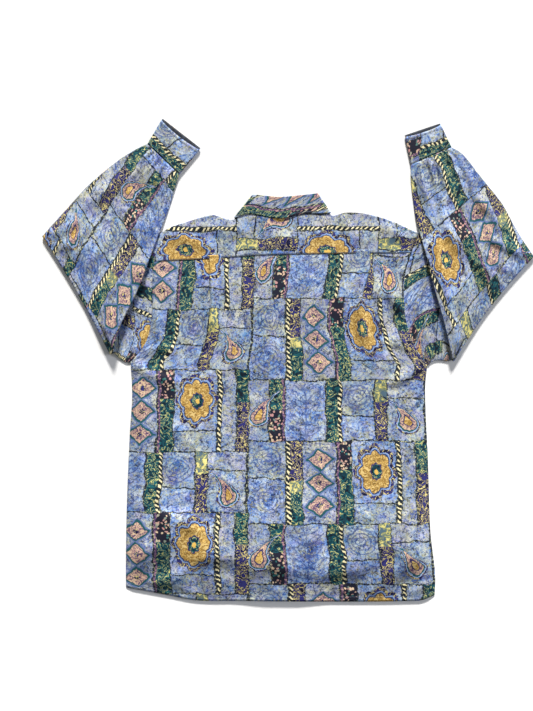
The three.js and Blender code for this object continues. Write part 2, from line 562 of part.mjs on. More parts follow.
// The sleeve is a flattened tube from the armhole to the crook of the elbow, bent over there, and
// then lying back on itself as far as the cuff.
function sleeve(side) {
  const data = SLEEVES[side];
  const [shoulder, underarm] = [SHOULDER[side], UNDERARM[side]];
  const armhole = side === "left" ? armholeLeft : armholeRight;
  const outward = side === "left" ? -1 : 1;
  const [outer, inner, under] = [path(data.outer), path(data.inner), path(data.under)];
  const [elbow, crook] = [outer(0), inner(0)];
  const creaseWay = crook.clone().sub(elbow).normalize();
  const creaseOut = new THREE.Vector2(creaseWay.y, -creaseWay.x).multiplyScalar(-outward);
  const armWay = elbow.clone().sub(new THREE.Vector2(shoulder.x, shoulder.y)).normalize();
  const armUp = new THREE.Vector2(-armWay.y, armWay.x).multiplyScalar(outward);

  const radius = (share) => lerp(FOLD_RADIUS, data.crookRadius, smooth(CROOK_FROM, 1, share));
  const bow = (share) => data.creaseBow * Math.sin(Math.PI * share);
  const half = (share, away) => {
    return TUBE_HALF + data.open * smooth(CROOK_FROM, 1, share) * smooth(OPEN_REACH, 0, away);
  };
  const inset = (share) => radius(share) + half(share, 0) + WALL / 2 + bow(share);
  const crease = (share) => elbow.clone().lerp(crook, share).addScaledVector(creaseOut, -inset(share));
  const armholePoint = (share) => {
    const y = lerp(shoulder.y, underarm.y, share);
    return new THREE.Vector2(armhole(y) + ARM_SEAM * outward, y);
  };
  const upperPoint = (share, along) => {
    const straight = armholePoint(share).lerp(crease(share), along);
    const edge = armholePoint(1).lerp(crease(1), along);
    const reach = smooth(0.4, 1, share) * smooth(0, 0.15, along) * (1 - along);
    return straight.addScaledVector(under(along).sub(edge), reach);
  };
  const forePoint = (share, along) => {
    const shift = crease(share).sub(elbow.clone().lerp(crook, share)).multiplyScalar((1 - along) ** 6);
    return outer(along).lerp(inner(along), share).add(shift);
  };
  const pastArm = (point) => point.clone().sub(new THREE.Vector2(shoulder.x, shoulder.y)).dot(armUp);
  const foreLevel = (share, along, point, thick) => {
    const round = lerp(radius(share), FOLD_RADIUS, smooth(0, 0.6, along));
    const drop = smooth(SLEEVE_DROP.from, SLEEVE_DROP.to, pastArm(point));
    const lying = lerp(ON_FLOOR + thick + 2 * round, TUBE_MIDDLE, drop);
    return lying + (CUFF_MIDDLE - TUBE_MIDDLE) * smooth(CUFF_RISE, 1, along);
  };
  const puff = (share, along) => {
    const ends = smooth(0, PUFF_ENDS.elbow, along) * smooth(1, PUFF_ENDS.cuff, along);
    return SLEEVE_PUFF * Math.sin(Math.PI * share) * ends;
  };

  const seamShare = (ends) => (shoulder.y - ends[side]) / (shoulder.y - underarm.y);
  const lowerShares = armholeShares(YOKE_FRONT_ROWS, seamShare(FRONT_SEAM_ENDS));
  const upperShares = armholeShares(YOKE_BACK_ROWS.map((up) => 1 - up).reverse(), seamShare(YOKE_ENDS));
  const columns = tubeColumns(lowerShares, upperShares);
  const { upper, bend, fore } = SLEEVE_ROWS;
  const mid = (i, j) => {
    const { share, height, reach } = columns[i];
    const away = j <= upper ? 1 - j / upper : Math.max((j - upper - bend) / fore, 0);
    const thick = half(share, away);
    const h = height * thick;
    const rowPoint = (s) => {
      if (j <= upper) return upperPoint(s, j / upper);
      return j <= upper + bend ? crease(s) : forePoint(s, (j - upper - bend) / fore);
    };
    const way = rowPoint(1).sub(rowPoint(0)).normalize();
    const base = rowPoint(share).addScaledVector(way, reach * thick);
    if (j === 0) base.x += outward * EDGE_CLEARANCE * Math.abs(reach);
    if (j <= upper) return new THREE.Vector3(base.x, base.y, ON_FLOOR + thick + h);
    if (j <= upper + bend) {
      const angle = (Math.PI * (j - upper)) / bend;
      const arm = radius(share) - h;
      base.addScaledVector(creaseOut, arm * Math.sin(angle));
      return new THREE.Vector3(base.x, base.y, ON_FLOOR + thick + radius(share) - arm * Math.cos(angle));
    }
    const along = (j - upper - bend) / fore;
    const lift = height < 0 ? -height * puff(share, along) : 0;
    return new THREE.Vector3(base.x, base.y, foreLevel(share, along, base, thick) - h + lift);
  };
  return clothWall(columns.length, upper + bend + fore, mid, { round: true });
}

// The cuff carries on from the sleeve's end as a stiffer flattened tube, its lower layer longer.
function cuff(side) {
  const data = SLEEVES[side];
  const corner = ([x, y]) => new THREE.Vector2(x, y);
  const start = { outer: corner(data.outer.at(-1)), inner: corner(data.inner.at(-1)) };
  const end = { outer: corner(data.cuffEnd.outer), inner: corner(data.cuffEnd.inner) };
  const axis = end.outer.clone().add(end.inner).sub(start.outer).sub(start.inner).normalize();
  const shares = Array.from({ length: CUFF.across + 1 }, (_, k) => k / CUFF.across);
  const columns = tubeColumns(shares, shares);
  const mid = (i, j) => {
    const { share, height, reach } = columns[i];
    const along = j / CUFF.rows;
    const from = start.outer.clone().lerp(end.outer, along);
    const to = start.inner.clone().lerp(end.inner, along);
    const way = to.clone().sub(from).normalize();
    const base = from.lerp(to, share).addScaledVector(way, reach * CUFF.half);
    base.addScaledVector(axis, ARM_SEAM + (along * CUFF.underLap * (1 - height)) / 2);
    const lift = height > 0 ? height * CUFF.puff * Math.sin(Math.PI * share) * smooth(0, 0.5, along) : 0;
    return new THREE.Vector3(base.x, base.y, CUFF_MIDDLE + height * CUFF.half + lift);
  };
  return clothWall(columns.length, CUFF.rows, mid, { round: true, wall: CUFF.wall });
}

// A flat sew-through button, standing on the floor.
function button(thick) {
  const ring = (radius, sides, x, y) =>
    Array.from({ length: sides }, (_, k) => {
      const angle = (2 * Math.PI * k) / sides;
      return new THREE.Vector2(x + radius * Math.cos(angle), y + radius * Math.sin(angle));
    });
  const shape = new THREE.Shape(ring(BUTTON.diameter / 2, BUTTON.sides, 0, 0));
  for (let k = 0; k < BUTTON.holes; k++) {
    const angle = (2 * Math.PI * (k + 0.5)) / BUTTON.holes;
    const [x, y] = [BUTTON.holeSpread * Math.cos(angle), BUTTON.holeSpread * Math.sin(angle)];
    shape.holes.push(new THREE.Path(ring(BUTTON.holeRadius, 6, x, y)));
  }
  return new THREE.ExtrudeGeometry(shape, { depth: thick, bevelEnabled: false });
}

const shirt = new THREE.Group();

function add(name, geometry, color, roughness) {
  const mesh = new THREE.Mesh(geometry, new THREE.MeshStandardMaterial({ color, roughness, metalness: 0 }));
  mesh.name = name;
  shirt.add(mesh);
  return mesh;
}

add("back", backPanel(), CLOTH_BLUE, MATT);
add("yoke", yoke(), CLOTH_DUSK, MATT);
add("placket", placket(), CLOTH_BLUE, MATT);
add("collar_stand", collarStand(), CLOTH_DUSK, MATT);
add("collar_fall", collarFall(), CLOTH_BLUE, MATT);
for (const side of ["left", "right"]) {
  add("front_" + side, frontPanel(side), CLOTH_BLUE, MATT);
  add("sleeve_" + side, sleeve(side), CLOTH_BLUE, MATT);
  add("cuff_" + side, cuff(side), CLOTH_DUSK, MATT);
}

for (let k = 0; k < FRONT_BUTTONS.count; k++) {
  const y = FRONT_NECK_DEPTH - FRONT_BUTTONS.first - k * FRONT_BUTTONS.spacing;
  add("button_" + (k + 1), button(BUTTON.thick), BUTTON_BLUE, GLOSSY).position.set(centreX(y), y, 0);
}
const COLLAR_BUTTON_Y = FRONT_NECK_DEPTH + COLLAR_BUTTON_RISE;
add("button_collar", button(BUTTON.thick), BUTTON_BLUE, GLOSSY)
  .position.set(centreX(COLLAR_BUTTON_Y), COLLAR_BUTTON_Y, 0);
for (const [side, { x, y }] of Object.entries(CUFF_BUTTONS)) {
  add("button_cuff_" + side, button(CUFF_BUTTON_THICK), BUTTON_BLUE, GLOSSY).position.set(x, y, 0);
}

export default shirt;
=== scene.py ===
# The looks of a men's long-sleeved printed shirt, buttoned up and laid face down on a pale floor.
# Lengths in the tables are millimetres, as a garment is measured; a mesh is made in metres.
import math
from collections import namedtuple

import bmesh
import bpy
import numpy as np
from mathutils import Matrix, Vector


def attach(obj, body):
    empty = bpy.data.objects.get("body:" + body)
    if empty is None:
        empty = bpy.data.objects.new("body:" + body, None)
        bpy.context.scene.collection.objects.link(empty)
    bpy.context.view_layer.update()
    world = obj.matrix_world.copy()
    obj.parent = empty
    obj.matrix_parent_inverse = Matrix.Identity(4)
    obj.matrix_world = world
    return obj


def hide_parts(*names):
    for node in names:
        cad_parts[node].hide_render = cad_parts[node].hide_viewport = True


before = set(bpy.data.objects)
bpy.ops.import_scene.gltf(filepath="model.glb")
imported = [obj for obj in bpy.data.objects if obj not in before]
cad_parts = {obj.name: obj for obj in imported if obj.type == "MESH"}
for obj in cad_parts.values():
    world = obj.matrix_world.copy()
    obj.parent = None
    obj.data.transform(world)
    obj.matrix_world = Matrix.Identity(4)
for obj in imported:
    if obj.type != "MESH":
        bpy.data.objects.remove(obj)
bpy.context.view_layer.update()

MM = 0.001

# The cloth, the gap at a seam, and the heights of the middle of each layer above the floor.
CLOTH = 0.5
STIFF_CLOTH = 1.0  # collar and cuffs, two layers with interlining between them
SEAM = 0.3
ON_FLOOR = 0.3
BACK_LEVEL = 2.95
SIDE_LEVEL = 1.2  # of the back along its side seams
TUBE_HALF = (BACK_LEVEL - ON_FLOOR) / 2  # half the thickness of a sleeve
TUBE_MIDDLE = ON_FLOOR + TUBE_HALF
FRONT_AT_NECK = 1.95
NECK_MIDDLE = 2.75  # of the collar stand
BACK_AT_NECK = 3.55
PLACKET_LEVEL = 2.85
UNDER_PLACKET = 4.25
OVER_PLACKET = 5.65
# The air under the back, in its middle and above the hem.
LOFT = 2.4
HEM_LOFT = 10.5
# The raised place round the neck: its middle, its half width and height, and where it has faded out.
NECK_CENTRE = (-5, 275)
NECK_REACH = (120, 95)
NECK_FADE = 1.35


def lerp(a, b, t):
    return a + (b - a) * t


def smooth(start, end, value):
    t = np.clip((value - start) / (end - start), 0, 1)
    return t * t * (3 - 2 * t)


def course(rows):
    """A smooth line through rows of (place, value), level beyond its ends."""
    place, value = np.array(rows, float).T
    last = len(place) - 1
    before = np.maximum(np.arange(last + 1) - 1, 0)
    after = np.minimum(np.arange(last + 1) + 1, last)
    slope = (value[after] - value[before]) / (place[after] - place[before])

    def read(at):
        at = np.clip(at, place[0], place[last])
        k = np.clip(np.searchsorted(place, at, side="right") - 1, 0, last - 1)
        width = place[k + 1] - place[k]
        t = (at - place[k]) / width
        rest = 1 - t
        start = value[k] * (1 + 2 * t) * rest**2 + slope[k] * width * t * rest**2
        end = value[k + 1] * (3 - 2 * t) * t**2 - slope[k + 1] * width * t**2 * rest
        return start + end

    return read


def path(points):
    """A smooth path through points of the plan, read by the share of its length from 0 to 1."""
    points = np.array(points, float)
    padded = np.vstack([points[:1], points, points[-1:]])
    place = np.linspace(0, len(points) - 1, 241)
    k = np.minimum(place.astype(int), len(points) - 2)
    t = (place - k)[:, None]
    p0, p1, p2, p3 = (padded[k + n] for n in range(4))
    bend = (2 * p0 - 5 * p1 + 4 * p2 - p3) * t**2 + (3 * p1 - p0 - 3 * p2 + p3) * t**3
    line = (2 * p1 + (p2 - p0) * t + bend) / 2
    steps = np.linalg.norm(np.diff(line, axis=0), axis=1)
    length = np.concatenate([[0], np.cumsum(steps)]) / steps.sum()

    def read(share):
        share = np.clip(share, 0, 1)
        return np.stack([np.interp(share, length, line[:, axis]) for axis in (0, 1)], axis=-1)

    return read


def unit(way):
    return way / np.linalg.norm(way, axis=-1, keepdims=True)


# The outline of the body: each course gives a value against a place.
SIDES = ("left", "right")
OUTWARD = {"left": -1, "right": 1}
UNDERARM = {"left": (-326, -2), "right": (290, -8)}
SHOULDER = {"left": (-267, 262), "right": (271, 264)}
SIDE_LINE = {
    "left": course([(-498, -335), (-435, -336), (-300, -334), (-154, -328), (-70, -323), (-2, -326)]),
    "right": course([(-498, 305), (-445, 307), (-352, 297), (-206, 292), (-60, 286), (-8, 290)]),
}
ARMHOLE = {
    "left": course([(-2, -326), (21, -305), (50, -290), (96, -282), (179, -280), (262, -267)]),
    "right": course([(-8, 290), (19, 271), (54, 255), (96, 244), (179, 244), (264, 271)]),
}
HEM_ENDS = {"left": -335, "right": 305}
hem = course([(-335, -470), (-253, -485), (-188, -497), (-99, -498), (270, -498), (307, -486)])
yoke_seam = course([(-278, 207), (-149, 213), (-63, 219), (109, 223), (254, 225)])
YOKE_ENDS = {"left": 207, "right": 225}

# The shoulders from the armhole to the neck, and the seams on the fronts that mirror them.
NECK = {"left": (-87, 313), "right": (76, 312)}
SHOULDER_LINE = {
    "left": course(
        [(-267, 262), (-242, 277), (-205, 289), (-155, 302), (-128, 294), (-109, 294), (-87, 313)]
    ),
    "right": course([(76, 312), (91, 301), (120, 307), (151, 306), (178, 301), (217, 289), (271, 264)]),
}
FRONT_SEAM = {
    "left": course([(-277, 222), (-180, 255), (-79, 273)]),
    "right": course([(68, 272), (170, 262), (255, 228)]),
}
FRONT_SEAM_ENDS = {"left": 222, "right": 228}
FRONT_NECK_DEPTH = 231  # where the neckline meets the front opening
YOKE_NECK_INSET = 2
NECK_GAP = 0.6  # from the collar stand to the cloth round it
STAND_INSET = 0.5

# The collar's lines across the back, and each front half from the turn of the collar inwards.
neck_back = course([(-87, 313), (-53, 307), (-5, 305), (43, 308), (76, 312)])
fold_back = course([(-70, 345), (-19, 340), (26, 343), (61, 347)])
edge_back = course([(-109, 297), (-82, 305), (-32, 297), (-9, 296), (29, 304), (88, 307)])
COLLAR = {
    "left": {
        "neck": path([(-87, 313), (-76, 268), (-43, 237), (5, 231)]),
        "fold": path([(-70, 345), (-53, 306), (-20, 268), (5, 262)]),
        "edge": path([(-109, 297), (-84, 245), (-53, 198)]),
    },
    "right": {
        "neck": path([(76, 312), (66, 268), (33, 237), (-15, 231)]),
        "fold": path([(61, 347), (43, 306), (10, 268), (-15, 262)]),
        "edge": path([(88, 307), (74, 245), (43, 198)]),
    },
}
FOLD_BACK = (-70, 61)
EDGE_BACK = (-109, 88)
STAND_HALF = 0.8  # half the thickness of the folded stand
ROLL = 0.7  # how far the fall rolls over its fold
LEAF_END = 0.8  # where the fall's points end, along each front
SEAM_ON_NECKLINE = 0.3  # where the shoulder seams meet the neckline, along each front
NECK_TURN = {"left": (-0.84, 0.54, 0), "right": (0.84, 0.54, 0)}  # the way out where it turns forward
FALL_RIDE = 1.3

# The placket: half its width, and how far the wearer's right front laps under it.
PLACKET_HALF = 16
PLACKET_LAP = 6

# Side pleats: the line of the fold, where the pleat is deepest and where it has opened, the height
# of its step, how far the cloth is laid under, and how far inwards the raised cloth runs out.
Pleat = namedtuple("Pleat", "x top end step depth spread")
PLEATS = {
    "left": Pleat(-163, 196, 20, 2.6, 13, 26),
    "right": Pleat(172, 204, 70, 2.6, 13, 26),
}

# Sleeves: outer and inner edge of the forearm from the elbow to the cuff seam, the edge under the
# arm from the armhole to the crook, the ends of the cuff's open edge, the radius of the fold at the
# crook, how far the fold bows in, and how far the tube stands open at the crook.
FOLD_RADIUS = 2.2
SLEEVES = {
    "left": {
        "outer": path([(-509, 258), (-459, 314), (-413, 364), (-353, 414), (-313, 439), (-290, 449)]),
        "inner": path(
            [(-369, 15), (-348, 75), (-307, 158), (-269, 262), (-249, 314), (-234, 364), (-226, 388)]
        ),
        "under": path([(-326, -2), (-338, -2), (-353, 3), (-369, 15)]),
        "cuff": ((-261, 499), (-184, 439)),
        "crook": 5,
        "bow": 4,
        "open": 1.4,
    },
    "right": {
        "outer": path([(511, 216), (479, 264), (444, 327), (405, 376), (365, 426), (339, 443)]),
        "inner": path([(346, 0), (326, 79), (305, 150), (284, 233), (267, 302), (258, 376), (258, 408)]),
        "under": path([(290, -8), (307, 6), (326, 9), (346, 0)]),
        "cuff": ((317, 489), (246, 465)),
        "crook": 3.6,
        "bow": 8,
        "open": 0.4,
    },
}
ARM_SEAM = 0.42  # the gap where a sleeve meets the body or its cuff
SLEEVE_DROP = (4, 64)  # over which the forearm sinks to the floor beyond the shoulder
SLEEVE_PUFF = 2.6
CUFF_HALF = 1.15
CUFF_MIDDLE = 1.8 + SEAM + 0.75 + CUFF_HALF  # over the button, its gap and the cuff's own wall
CUFF_UNDER_LAP = 4
CUFF_PUFF = 1.6
CUFF_RECESS = {"left": 5, "right": 3.4}  # how far the upper layer ends short of the lower one
CUFF_DEPTH = 58
CUFF_ROWS = 19
CUFF_ACROSS = 32
ROUND_STEPS = 6  # round each edge of a sleeve or cuff
# How high the inner edge of the forearm stands off the body, from the crook on.
EDGE_LIFT = {
    "left": course([(0, 7), (0.06, 9), (0.16, 6.5), (0.3, 4), (0.42, 6), (0.54, 5), (0.64, 0), (1, 0)]),
    "right": course(
        [(0, 5), (0.09, 6.5), (0.2, 4.5), (0.34, 6), (0.46, 4.5), (0.56, 5.5), (0.66, 0), (1, 0)]
    ),
}
# Shares of the way across or along a sleeve: from where its inner edge lifts, from where its fold
# widens to the crook, how far from the crease it stands open there, and from where the forearm
# rises to the cuff.
EDGE_FROM = 0.74
CROOK_FROM = 0.55
OPEN_REACH = 0.5
CUFF_RISE = 0.72
SLEEVE_ACROSS = 52
TUCK_ROWS = 3
UPPER_ROWS = 52
BEND_ROWS = 14
FORE_ROWS = 92
SEAM_TUCK = 8  # how far the sleeve's cloth goes on past the armhole, in under the body
SEAM_SQUEEZE = 0.45
# Gathers at the cuffs: place across the sleeve, length as a share of the forearm, and height.
GATHER_WIDTH = 0.022
GATHERS = {
    "left": [(0.1, 0.16, 1.2), (0.2, 0.3, 1.7), (0.3, 0.2, 1.4), (0.41, 0.34, 1.9), (0.52, 0.2, 1.4),
             (0.6, 0.28, 1.6), (0.72, 0.18, 1.4), (0.81, 0.3, 1.7), (0.91, 0.16, 1.2)],
    "right": [(0.08, 0.2, 1.3), (0.19, 0.28, 1.7), (0.27, 0.16, 1.2), (0.38, 0.32, 1.8), (0.48, 0.2, 1.5),
              (0.61, 0.3, 1.8), (0.7, 0.18, 1.3), (0.8, 0.26, 1.6), (0.9, 0.18, 1.2)],
}

# Soft folds of the cloth: each is a ridge, or a trough where its height is negative. A row has x and
# y of its two ends, how far it bows sideways, its width on its soft and its steep side, and its height.
BACK_CREASES = [
    # The rounded fold over the left side of the hem, its top, its side and the hollow outside them.
    (-262, -316, -186, -320, 6, 36, 13, 6.2),
    (-254, -310, -258, -376, -5, 12, 32, 4.6),
    (-290, -294, -184, -296, 7, 9, 8, -2.0),
    (-281, -288, -284, -380, -4, 8, 9, -2.0),
    # The ridges that run across above the hem.
    (-204, -406, -92, -412, -6, 16, 40, 6.6),
    (-330, -420, -222, -374, -8, 22, 14, 5.0),
    (-300, -462, -196, -428, 7, 20, 14, 4.6),
    (-96, -430, 40, -436, -8, 17, 40, 5.2),
    (44, -438, 184, -414, 9, 16, 42, 6.2),
    (168, -482, 292, -396, -11, 24, 15, 5.0),
    (222, -412, 300, -344, 7, 20, 13, 4.2),
    (246, -488, 302, -448, 4, 14, 10, 3.4),
    # The swell over the whole width that falls away to the hem.
    (-380, -366, 10, -376, 5, 88, 92, 4.4),
    (-10, -376, 380, -368, -4, 88, 92, 4.4),
    # Long soft folds down the body.
    (-298, -50, -292, -250, 8, 16, 10, 5.0),
    (-238, -60, -246, -262, -8, 26, 16, 2.6),
    (-176, -40, -164, -280, 9, 26, 18, 2.6),
    (-70, 160, -52, -60, -7, 30, 20, 2.3),
    (-84, -120, -112, -330, 6, 24, 18, 2.3),
    (36, 190, 54, 20, 6, 22, 14, 2.2),
    (88, 40, 70, -200, 10, 28, 20, 2.5),
    (4, -140, 34, -380, 12, 30, 22, 2.3),
    (148, -190, 132, -400, 8, 26, 16, 2.6),
    (206, 40, 190, -180, -9, 20, 11, 3.6),
    (262, -40, 240, -260, -9, 18, 10, 4.8),
    (276, -180, 284, -340, 5, 14, 10, 3.5),
    # Pulls from the armholes and the underarms.
    (-318, -4, -222, -44, 6, 14, 8, 4.6),
    (-312, 22, -226, 20, -6, 13, 8, 3.5),
    (-290, 70, -236, 120, 5, 13, 8, 2.9),
    (-272, 130, -252, 20, 6, 14, 9, 3.8),
    (-240, 190, -258, 100, 5, 12, 8, 3.2),
    (288, -6, 196, -52, -6, 14, 8, 4.6),
    (268, 28, 190, 30, 6, 13, 8, 3.2),
    (244, 100, 204, 150, -5, 13, 8, 3.2),
    (214, 190, 238, 90, 6, 14, 8, 4.1),
    (232, 60, 214, -30, 5, 12, 8, 3.2),
    # The pair of folds that the right pleat runs out in.
    (158, 176, 154, 30, 3, 7, 12, 6.4),
    (186, 180, 192, 56, -4, 12, 7, 5.2),
    (-154, 190, -150, 56, 4, 13, 7, 5.0),
    (-128, 176, -122, 96, -3, 9, 7, 2.6),
    # Small slack folds over the rest of it.
    (-214, 60, -176, 6, 4, 9, 6, 1.8),
    (-120, 30, -92, -44, -3, 10, 7, 1.6),
    (-20, 96, 10, 34, 4, 10, 7, 1.5),
    (96, 150, 124, 84, -4, 10, 7, 1.7),
    (120, 10, 100, -70, 4, 11, 7, 1.6),
    (-226, -120, -196, -182, 4, 10, 6, 1.8),
    (-44, -86, -8, -130, -5, 10, 7, 1.6),
    (170, -90, 206, -150, 5, 10, 7, 1.8),
    (-140, -236, -96, -276, -5, 10, 7, 1.8),
    (60, -206, 108, -252, 5, 11, 7, 1.7),
    (232, -250, 262, -318, -4, 10, 7, 2.0),
    (-20, -312, 40, -340, 5, 11, 8, 1.8),
    (112, -300, 176, -330, -5, 11, 8, 2.0),
    (-212, -338, -150, -352, 4, 10, 7, 1.9),
    (-60, -456, -10, -482, -3, 8, 6, 1.8),
    (96, -462, 150, -486, 3, 8, 6, 1.8),
    (-236, -462, -176, -486, 3, 8, 6, 1.8),
    (-186, 150, -206, 88, 3, 8, 6, 1.6),
    (70, 196, 64, 150, 2, 8, 6, 1.5),
    (-40, 206, -44, 168, 2, 8, 6, 1.4),
    # Hollows between them.
    (-130, 110, -60, 60, 7, 24, 18, -1.1),
    (100, -80, 200, -110, 8, 28, 20, -1.3),
    (-250, -180, -150, -200, -7, 28, 22, -1.3),
    (-40, -250, 80, -262, 10, 30, 22, -1.1),
    (-150, -372, -60, -366, 6, 22, 18, -1.4),
    (60, -384, 200, -362, 8, 22, 18, -1.5),
]
SLEEVE_CREASES = {
    "left": [
        (-505, 262, -414, 304, 5, 15, 8, 4.6),
        (-486, 226, -392, 296, 7, 17, 8, 4.9),
        (-460, 190, -376, 268, -6, 13, 8, 3.8),
        (-440, 150, -360, 262, -8, 17, 10, 4.6),
        (-412, 106, -352, 210, 7, 14, 9, 4.1),
        (-378, 36, -334, 196, 6, 11, 15, 4.6),
        (-400, 92, -356, 156, 5, 11, 8, 3.8),
        (-360, 26, -338, 104, -3, 9, 8, -2.6),
        (-374, 8, -338, -2, 3, 7, 6, 3.4),
        (-442, 300, -380, 372, 5, 13, 8, 3.2),
        (-400, 330, -330, 396, 4, 13, 8, 3.5),
        (-344, 250, -290, 352, 5, 13, 8, 3.5),
        (-330, 170, -300, 290, -5, 12, 9, 3.5),
        (-300, 300, -262, 398, -4, 10, 7, 3.2),
        (-362, 372, -316, 424, 3, 8, 6, 2.6),
        (-326, 378, -292, 436, 2, 6, 4.5, 3.2),
        (-300, 360, -274, 428, 2, 6, 4.5, 3.5),
        (-280, 366, -256, 414, -2, 5.5, 4, 3.2),
        (-262, 344, -243, 403, -2, 6, 4.5, 2.9),
        (-432, 240, -380, 330, 6, 20, 14, -1.3),
        (-372, 226, -330, 300, 6, 18, 14, -1.3),
    ],
    "right": [
        (506, 214, 408, 262, -6, 15, 8, 4.9),
        (484, 172, 398, 236, -6, 15, 9, 4.3),
        (460, 142, 384, 206, 6, 13, 8, 3.8),
        (436, 110, 372, 228, 8, 17, 10, 4.6),
        (406, 78, 352, 172, -6, 13, 9, 3.8),
        (352, 20, 332, 172, -5, 11, 15, 4.6),
        (384, 60, 350, 150, -4, 11, 8, 3.5),
        (356, 12, 344, 92, 3, 8, 7, 3.2),
        (452, 268, 396, 346, -5, 13, 8, 3.2),
        (420, 300, 372, 384, -4, 13, 8, 3.5),
        (352, 230, 312, 342, -5, 13, 8, 3.5),
        (322, 130, 300, 260, 5, 12, 9, 3.5),
        (300, 270, 276, 374, 4, 9, 6.5, 3.5),
        (392, 362, 356, 420, -3, 8, 6, 2.6),
        (356, 376, 332, 434, -2, 6, 4.5, 3.2),
        (326, 356, 308, 427, 2, 6, 4.5, 3.5),
        (304, 366, 290, 420, 2, 5.5, 4, 3.2),
        (284, 346, 274, 412, -2, 6, 4.5, 2.9),
        (430, 220, 372, 300, 6, 20, 14, -1.3),
        (362, 170, 330, 250, 6, 18, 14, -1.3),
    ],
}
YOKE_CREASES = [
    (-240, 268, -150, 238, 6, 15, 8, 2.9),
    (-196, 282, -120, 262, -5, 12, 8, 2.3),
    (-120, 286, -64, 240, -5, 13, 9, 2.2),
    (110, 296, 170, 244, 5, 15, 9, 2.8),
    (190, 286, 252, 246, -4, 13, 8, 2.9),
    (-40, 262, 60, 258, 5, 16, 12, 1.7),
    (52, 284, 92, 244, 4, 11, 8, 2.0),
]


def bump(value, centre, width):
    """A round hump of height 1."""
    return np.exp(-(((value - centre) / width) ** 2))


def crease_height(rows, x, y):
    """The height that a table of creases adds at each place."""
    total = np.zeros(np.shape(x))
    for x1, y1, x2, y2, bow, soft, steep, height in rows:
        dx, dy = x2 - x1, y2 - y1
        length = math.hypot(dx, dy)
        along = ((x - x1) * dx + (y - y1) * dy) / length**2
        across = ((x - x1) * dy - (y - y1) * dx) / length
        inside = np.clip(along, 0, 1)
        across = across - 4 * bow * inside * (1 - inside)
        ends = smooth(-0.12, 0.3, along) * smooth(1.12, 0.7, along)
        total += height * ends * bump(across, 0, np.where(across > 0, soft, steep))
    return total


RIPPLE_WAVES = 16


def ripple(x, y, seed, height, shortest=34, longest=150):
    """The faint unevenness of cloth that has been worn and washed, height being its usual size."""
    draw = np.random.default_rng(seed)
    waves = draw.uniform(shortest, longest, RIPPLE_WAVES)
    turns, phases = draw.uniform(0, 2 * math.pi, (2, RIPPLE_WAVES))
    total = np.zeros(np.shape(x))
    for wave, turn, phase in zip(waves, turns, phases):
        total += wave * np.sin(2 * math.pi * (x * math.cos(turn) + y * math.sin(turn)) / wave + phase)
    return height * total / math.sqrt((waves**2).sum() / 2)


PUCKER = 0.11
PUCKER_REACH = 9
PUCKER_WAVES = (7, 19, 5)  # the shortest, the longest and how many


def pucker(distance, along, seed):
    """Small gathers that a line of stitches draws into cloth, dying away from it."""
    draw = np.random.default_rng(seed)
    waves = np.zeros(np.shape(along))
    for wave in draw.uniform(*PUCKER_WAVES):
        waves += np.sin(2 * math.pi * along / wave + draw.uniform(0, 2 * math.pi))
    return PUCKER * waves * np.exp(-np.abs(distance) / PUCKER_REACH)


OPENING_AT_NECK = -5
OPENING_SLANT = 0.0137


def centre_x(y):
    """The middle of the front opening, which lies a little askew."""
    return OPENING_AT_NECK - OPENING_SLANT * (FRONT_NECK_DEPTH - y)


def near_placket(x, y, flat, slope):
    """1 within flat of the front opening, falling to 0 at slope from it."""
    return smooth(slope, flat, np.abs(x - centre_x(y)))


def near_neck(x, y):
    """1 inside the neck, falling to 0 round it."""
    away = np.hypot((x - NECK_CENTRE[0]) / NECK_REACH[0], (y - NECK_CENTRE[1]) / NECK_REACH[1])
    return smooth(NECK_FADE, 1, away)


def front_level(x, y):
    """The middle of the fronts above the floor, away from the placket."""
    return lerp(ON_FLOOR, FRONT_AT_NECK, near_neck(x, y))


def side_front_level(side, x, y):
    height = PLACKET_LEVEL if side == "left" else UNDER_PLACKET
    return lerp(front_level(x, y), height, near_placket(x, y, 20, 60))


def side_distance(x, y):
    """How far a place of the back is from the nearer side seam."""
    return np.minimum(x - SIDE_LINE["left"](y), SIDE_LINE["right"](y) - x)


def back_level(x, y):
    """The middle of the back and the yoke above the floor, before creases."""
    over_buttons = near_placket(x, y, 25, 110) * smooth(308, 264, y)
    plain = lerp(BACK_LEVEL, BACK_AT_NECK, near_neck(x, y))
    at_side = smooth(14, 0, side_distance(x, y)) * smooth(-4, -34, y)
    return lerp(plain, OVER_PLACKET, over_buttons) - at_side * (BACK_LEVEL - SIDE_LEVEL)


def armhole_distance(x, y):
    """How far a place of the back is from the nearer armhole seam, far below the underarms."""
    away = np.minimum(x - ARMHOLE["left"](y), ARMHOLE["right"](y) - x)
    return away + 60 * smooth(10, -30, y)


def loft(x, y):
    """The air under the back, most of it above the hem, which lets the cloth fall away all round."""
    from_hem = y - hem(x)
    middle = smooth(0, 46, side_distance(x, y)) * smooth(0, 74, yoke_seam(x) - y)
    lying = smooth(0, 30, armhole_distance(x, y)) * smooth(-18, 136, from_hem) * smooth(0, 24, from_hem)
    return lerp(HEM_LOFT, LOFT, smooth(130, 400, from_hem)) * middle * lying


def back_relief(x, y):
    """The creases and the unevenness of the back, none at its edges."""
    inside = smooth(0, 16, side_distance(x, y)) * smooth(-2, 22, y - hem(x))
    inside = inside * smooth(1, 14, armhole_distance(x, y)) * smooth(0, 16, yoke_seam(x) - y)
    uneven = ripple(x, y, 5, 0.8, 60, 190) + ripple(x, y, 6, 0.3, 16, 52)
    return (crease_height(BACK_CREASES, x, y) + uneven) * inside + loft(x, y)


def place_object(name, data):
    """Puts a mesh, a lamp or a camera into the scene."""
    made = bpy.data.objects.new(name, data)
    bpy.context.collection.objects.link(made)
    return made


